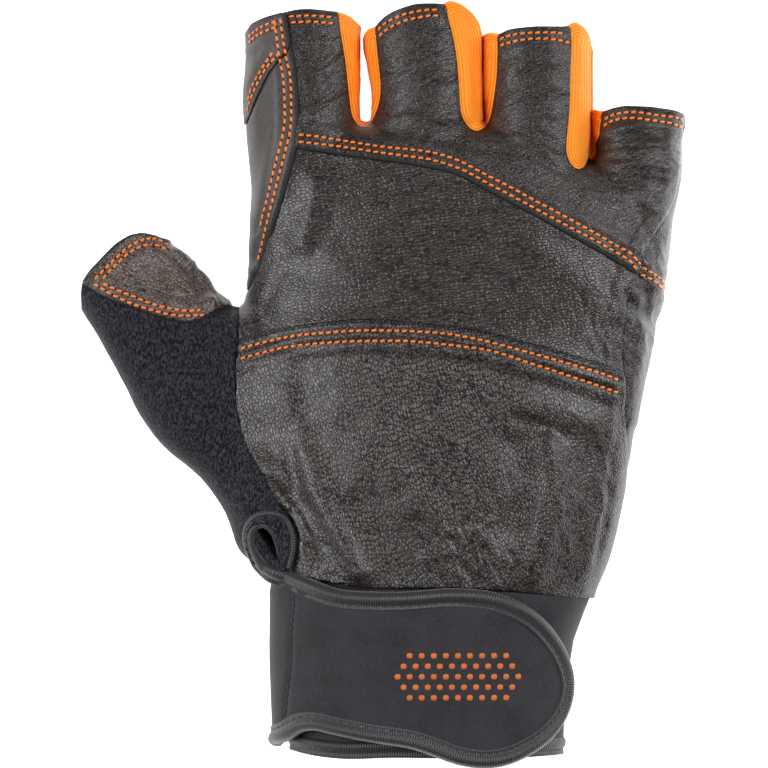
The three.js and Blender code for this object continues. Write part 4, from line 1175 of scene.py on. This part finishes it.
# Slit at the root of the thumb
# A teardrop slit lets the glove be pulled on. A soft facing is turned out round it, and a thin cord of
# tape rims the facing from the strap's tape right round to the palm.
SLIT_RIM = curve((270, 577), (262, 570), (255, 559), (250, 548), (247.5, 536), (250, 523), (258, 515),
                 (271, 512), (283, 516), (291, 525), (295.5, 537), (295.5, 549), (292, 566))
FACING_LIFT, FACING_CROWN, FACING_DROP = 1.3, 0.5, 0.9
FACING_THICK = 1.2
RIM_RISE = 0.9
RIM_PROFILE = oval(0.75, 0.6, 10)
RIM_RIBS = 0.03

rim_field = np.where(form[:, 2] > SLIT_LOWEST, inside(above, SLIT_RIM), -9)
sew_panel("slit_facing", np.minimum.reduce([rim_field, -slit_field, whole]),
          FACING_LIFT + FACING_CROWN * smoothstep(-slit_field, 0, 1.2)
          - FACING_DROP * (1 - smoothstep(rim_field, 0, 1.0)),
          FACING_THICK, brushed_knit, "edge_tape", "slit_binding")
rim_path, rim_ups = drop(glove_surface, SLIT_RIM)
rim_path, _ = even(np.column_stack([rim_path + RIM_RISE * rim_ups, rim_ups]), RIB_PITCH / 2)
rim_path = relax(rim_path, 30)
slit_rim = sweep("slit_rim_tape", rim_path[:, :3], rim_path[:, 3:], RIM_PROFILE, ribs=RIM_RIBS)
finish_piece(slit_rim, tape, "edge_tape")

# Stitches
# Each seam and hem of the leather is sewn with two rows of thick orange polyester thread, about five
# stitches to the centimetre. Every stitch dips into its needle holes, whose shade is painted as matt black
# spots.
STITCH_PITCH = 1.9
STITCH_LONG = 1.36
STITCH_THICK = 0.72
STITCH_HIGH = 0.55
STITCH_RISE = 0.1
STITCH_TILT = math.radians(9)
HOLE = (0.55, 0.6, 0.16)
FINE_STEP = 0.3
STEPS = 8  # points of a row in one stitch
TAPE_PITCH = 2.1
TAPE_STITCH = (1.2, 0.4, 0.35)
GROOVE_ACROSS, GROOVE_UP = 1.2, 1.55  # where the stitches lie on the tape's profile


def bead(long, wide, high, sides=7, rows=6):
    """A long bead along X, with its middle at the origin."""
    places, faces = [(-long / 2, 0, 0)], []
    for row in range(1, rows):
        turn = math.pi * row / rows
        for at in range(sides):
            side = 2 * math.pi * at / sides
            places.append((-math.cos(turn) * long / 2, power(math.sin(turn), 0.6) * math.cos(side) * wide / 2,
                           power(math.sin(turn), 0.6) * math.sin(side) * high / 2))
    places.append((long / 2, 0, 0))
    for at in range(sides):
        after = (at + 1) % sides
        faces.append((0, 1 + after, 1 + at))
        for row in range(rows - 2):
            near = 1 + row * sides
            faces.append((near + at, near + after, near + sides + after, near + sides + at))
        last_row = 1 + (rows - 2) * sides
        faces.append((len(places) - 1, last_row + at, last_row + after))
    return np.array(places), faces


def set_beads(name, shape, seats):
    """One joined mesh with a copy of a shape on each seat, which holds a place and three axes."""
    shape_points, shape_faces = shape
    points, faces = [], []
    for place, ahead, side, up in seats:
        start = len(points) * len(shape_points)
        points.append(place + shape_points @ np.array([ahead, side, up]))
        faces += [tuple(start + corner for corner in face) for face in shape_faces]
    return add_mesh(name, np.vstack(points), faces)


def row_seats(surface, line, pitch, height, tilt=0.0, shift=0.0):
    """Seats at even steps along a row on a surface."""
    fine, _ = even(np.column_stack([line, np.zeros(len(line))]), FINE_STEP)
    places, ups = drop(surface, fine[:, :2])
    track = relax(np.column_stack([places, ups]), 3)
    track, _ = even(track, pitch / STEPS)
    ahead = np.gradient(track[:, :3], axis=0)
    seats = []
    for at in range(int(STEPS / 2 + STEPS * shift), len(track) - 3, STEPS):
        up = track[at, 3:] / np.linalg.norm(track[at, 3:])
        forward = ahead[at] - up * (ahead[at] @ up)
        forward /= np.linalg.norm(forward)
        side = np.cross(up, forward)
        forward, side = (forward * math.cos(tilt) + side * math.sin(tilt),
                         side * math.cos(tilt) - forward * math.sin(tilt))
        seats.append((track[at, :3] + up * height, forward, side, up))
    return seats


# Polyester thread: bright orange with a soft gloss, and darker where its strands turn.
material, tree, shader = new_material("orange_polyester_thread")
place = add_node(tree, "ShaderNodeTexCoord").outputs["Object"]
strands = add_node(tree, "ShaderNodeTexNoise", {"Vector": place, "Scale": 1500.0, "Detail": 2.0})
colour = add_node(tree, "ShaderNodeMix", {0: strands.outputs["Fac"], 6: srgb("b8500c"), 7: srgb("ff8a2a")},
                  data_type="RGBA")
tree.links.new(colour.outputs[2], shader.inputs["Base Color"])
shader.inputs["Roughness"].default_value = 0.45
orange_thread = material

stitches, holes = [], []
for row in STITCH_ROWS:
    stitches += row_seats(glove_surface, row, STITCH_PITCH, STITCH_RISE, STITCH_TILT)
    holes += row_seats(glove_surface, row, STITCH_PITCH, 0.0, STITCH_TILT, 0.5)
finish_piece(set_beads("seam_stitches", bead(STITCH_LONG, STITCH_THICK, STITCH_HIGH), stitches),
             orange_thread, "orange_knit")

# Painted shadow of a needle hole: a matt black spot at each end of a stitch.
material, tree, shader = new_material("needle_hole_shadow")
place = add_node(tree, "ShaderNodeTexCoord").outputs["Object"]
depth = add_node(tree, "ShaderNodeTexNoise", {"Vector": place, "Scale": 900.0})
colour = add_node(tree, "ShaderNodeMix", {0: depth.outputs["Fac"], 6: srgb("040404"), 7: srgb("0d0c0c")},
                  data_type="RGBA")
tree.links.new(colour.outputs[2], shader.inputs["Base Color"])
shader.inputs["Roughness"].default_value = 1.0
needle_hole = material
finish_piece(set_beads("needle_hole_painted_shadows", bead(*HOLE, 6, 4), holes), needle_hole, "goat_leather")

# Black polyester thread: slightly glossy, so that each stitch of the tape and the strap's seam just shows.
material, tree, shader = new_material("black_polyester_thread")
place = add_node(tree, "ShaderNodeTexCoord").outputs["Object"]
strands = add_node(tree, "ShaderNodeTexNoise", {"Vector": place, "Scale": 1500.0, "Detail": 2.0})
colour = add_node(tree, "ShaderNodeMix", {0: strands.outputs["Fac"], 6: srgb("080808"), 7: srgb("3c3a3e")},
                  data_type="RGBA")
tree.links.new(colour.outputs[2], shader.inputs["Base Color"])
shader.inputs["Roughness"].default_value = 0.5
black_thread = material
groove, _ = even(tape_path.copy(), TAPE_PITCH / STEPS)
ahead = np.gradient(groove[:, :3], axis=0)
seats = []
for at in range(30, len(groove) - STEPS, STEPS):
    forward = ahead[at] / np.linalg.norm(ahead[at])
    side = np.cross(forward, groove[at, 3:])
    side /= np.linalg.norm(side)
    up = np.cross(side, forward)
    seats.append((groove[at, :3] + GROOVE_ACROSS * side + GROOVE_UP * up, forward, side, up))
seats += row_seats(strap_surface, SEAM_LINE, TAPE_PITCH, 0.05)
finish_piece(set_beads("tape_stitches", bead(*TAPE_STITCH), seats), black_thread, "edge_tape")

# Printed dots
# The strap's end carries a plain field of small rubber dots, printed on the neoprene face. They give the
# fingers a hold when the strap is opened.
DOTS_CENTRE = (458, 675)
DOT_STEP = 3.0
DOT_ROWS = 5
DOT_COLUMNS = 11
ROW_CLOSER = 0.87  # rows of a six-sided field lie closer than the dots in a row
DOT = (1.5, 1.5, 0.5)

# Printed rubber: raised copper-coloured spots with a dull gloss.
material, tree, shader = new_material("copper_rubber_print")
place = add_node(tree, "ShaderNodeTexCoord").outputs["Object"]
speckle = add_node(tree, "ShaderNodeTexNoise", {"Vector": place, "Scale": 700.0, "Detail": 2.0})
colour = add_node(tree, "ShaderNodeMix", {0: speckle.outputs["Fac"], 6: srgb("a8541f"), 7: srgb("c96a2c")},
                  data_type="RGBA")
tree.links.new(colour.outputs[2], shader.inputs["Base Color"])
shader.inputs["Roughness"].default_value = 0.6
seats = []
for row in range(DOT_ROWS):
    count = DOT_COLUMNS - abs(row - DOT_ROWS // 2)
    for column in range(count):
        across = (column - (count - 1) / 2) * DOT_STEP
        middle = plan(DOTS_CENTRE)[0] + (across, (DOT_ROWS // 2 - row) * DOT_STEP * ROW_CLOSER)
        place_here, up_here = drop(strap_surface, [middle])
        up_here = up_here[0] / np.linalg.norm(up_here[0])
        side = np.cross(up_here, (1, 0, 0))
        side /= np.linalg.norm(side)
        seats.append((place_here[0], np.cross(side, up_here), side, up_here))
finish_piece(set_beads("strap_dots", bead(*DOT, 12, 8), seats), material, "orange_knit")
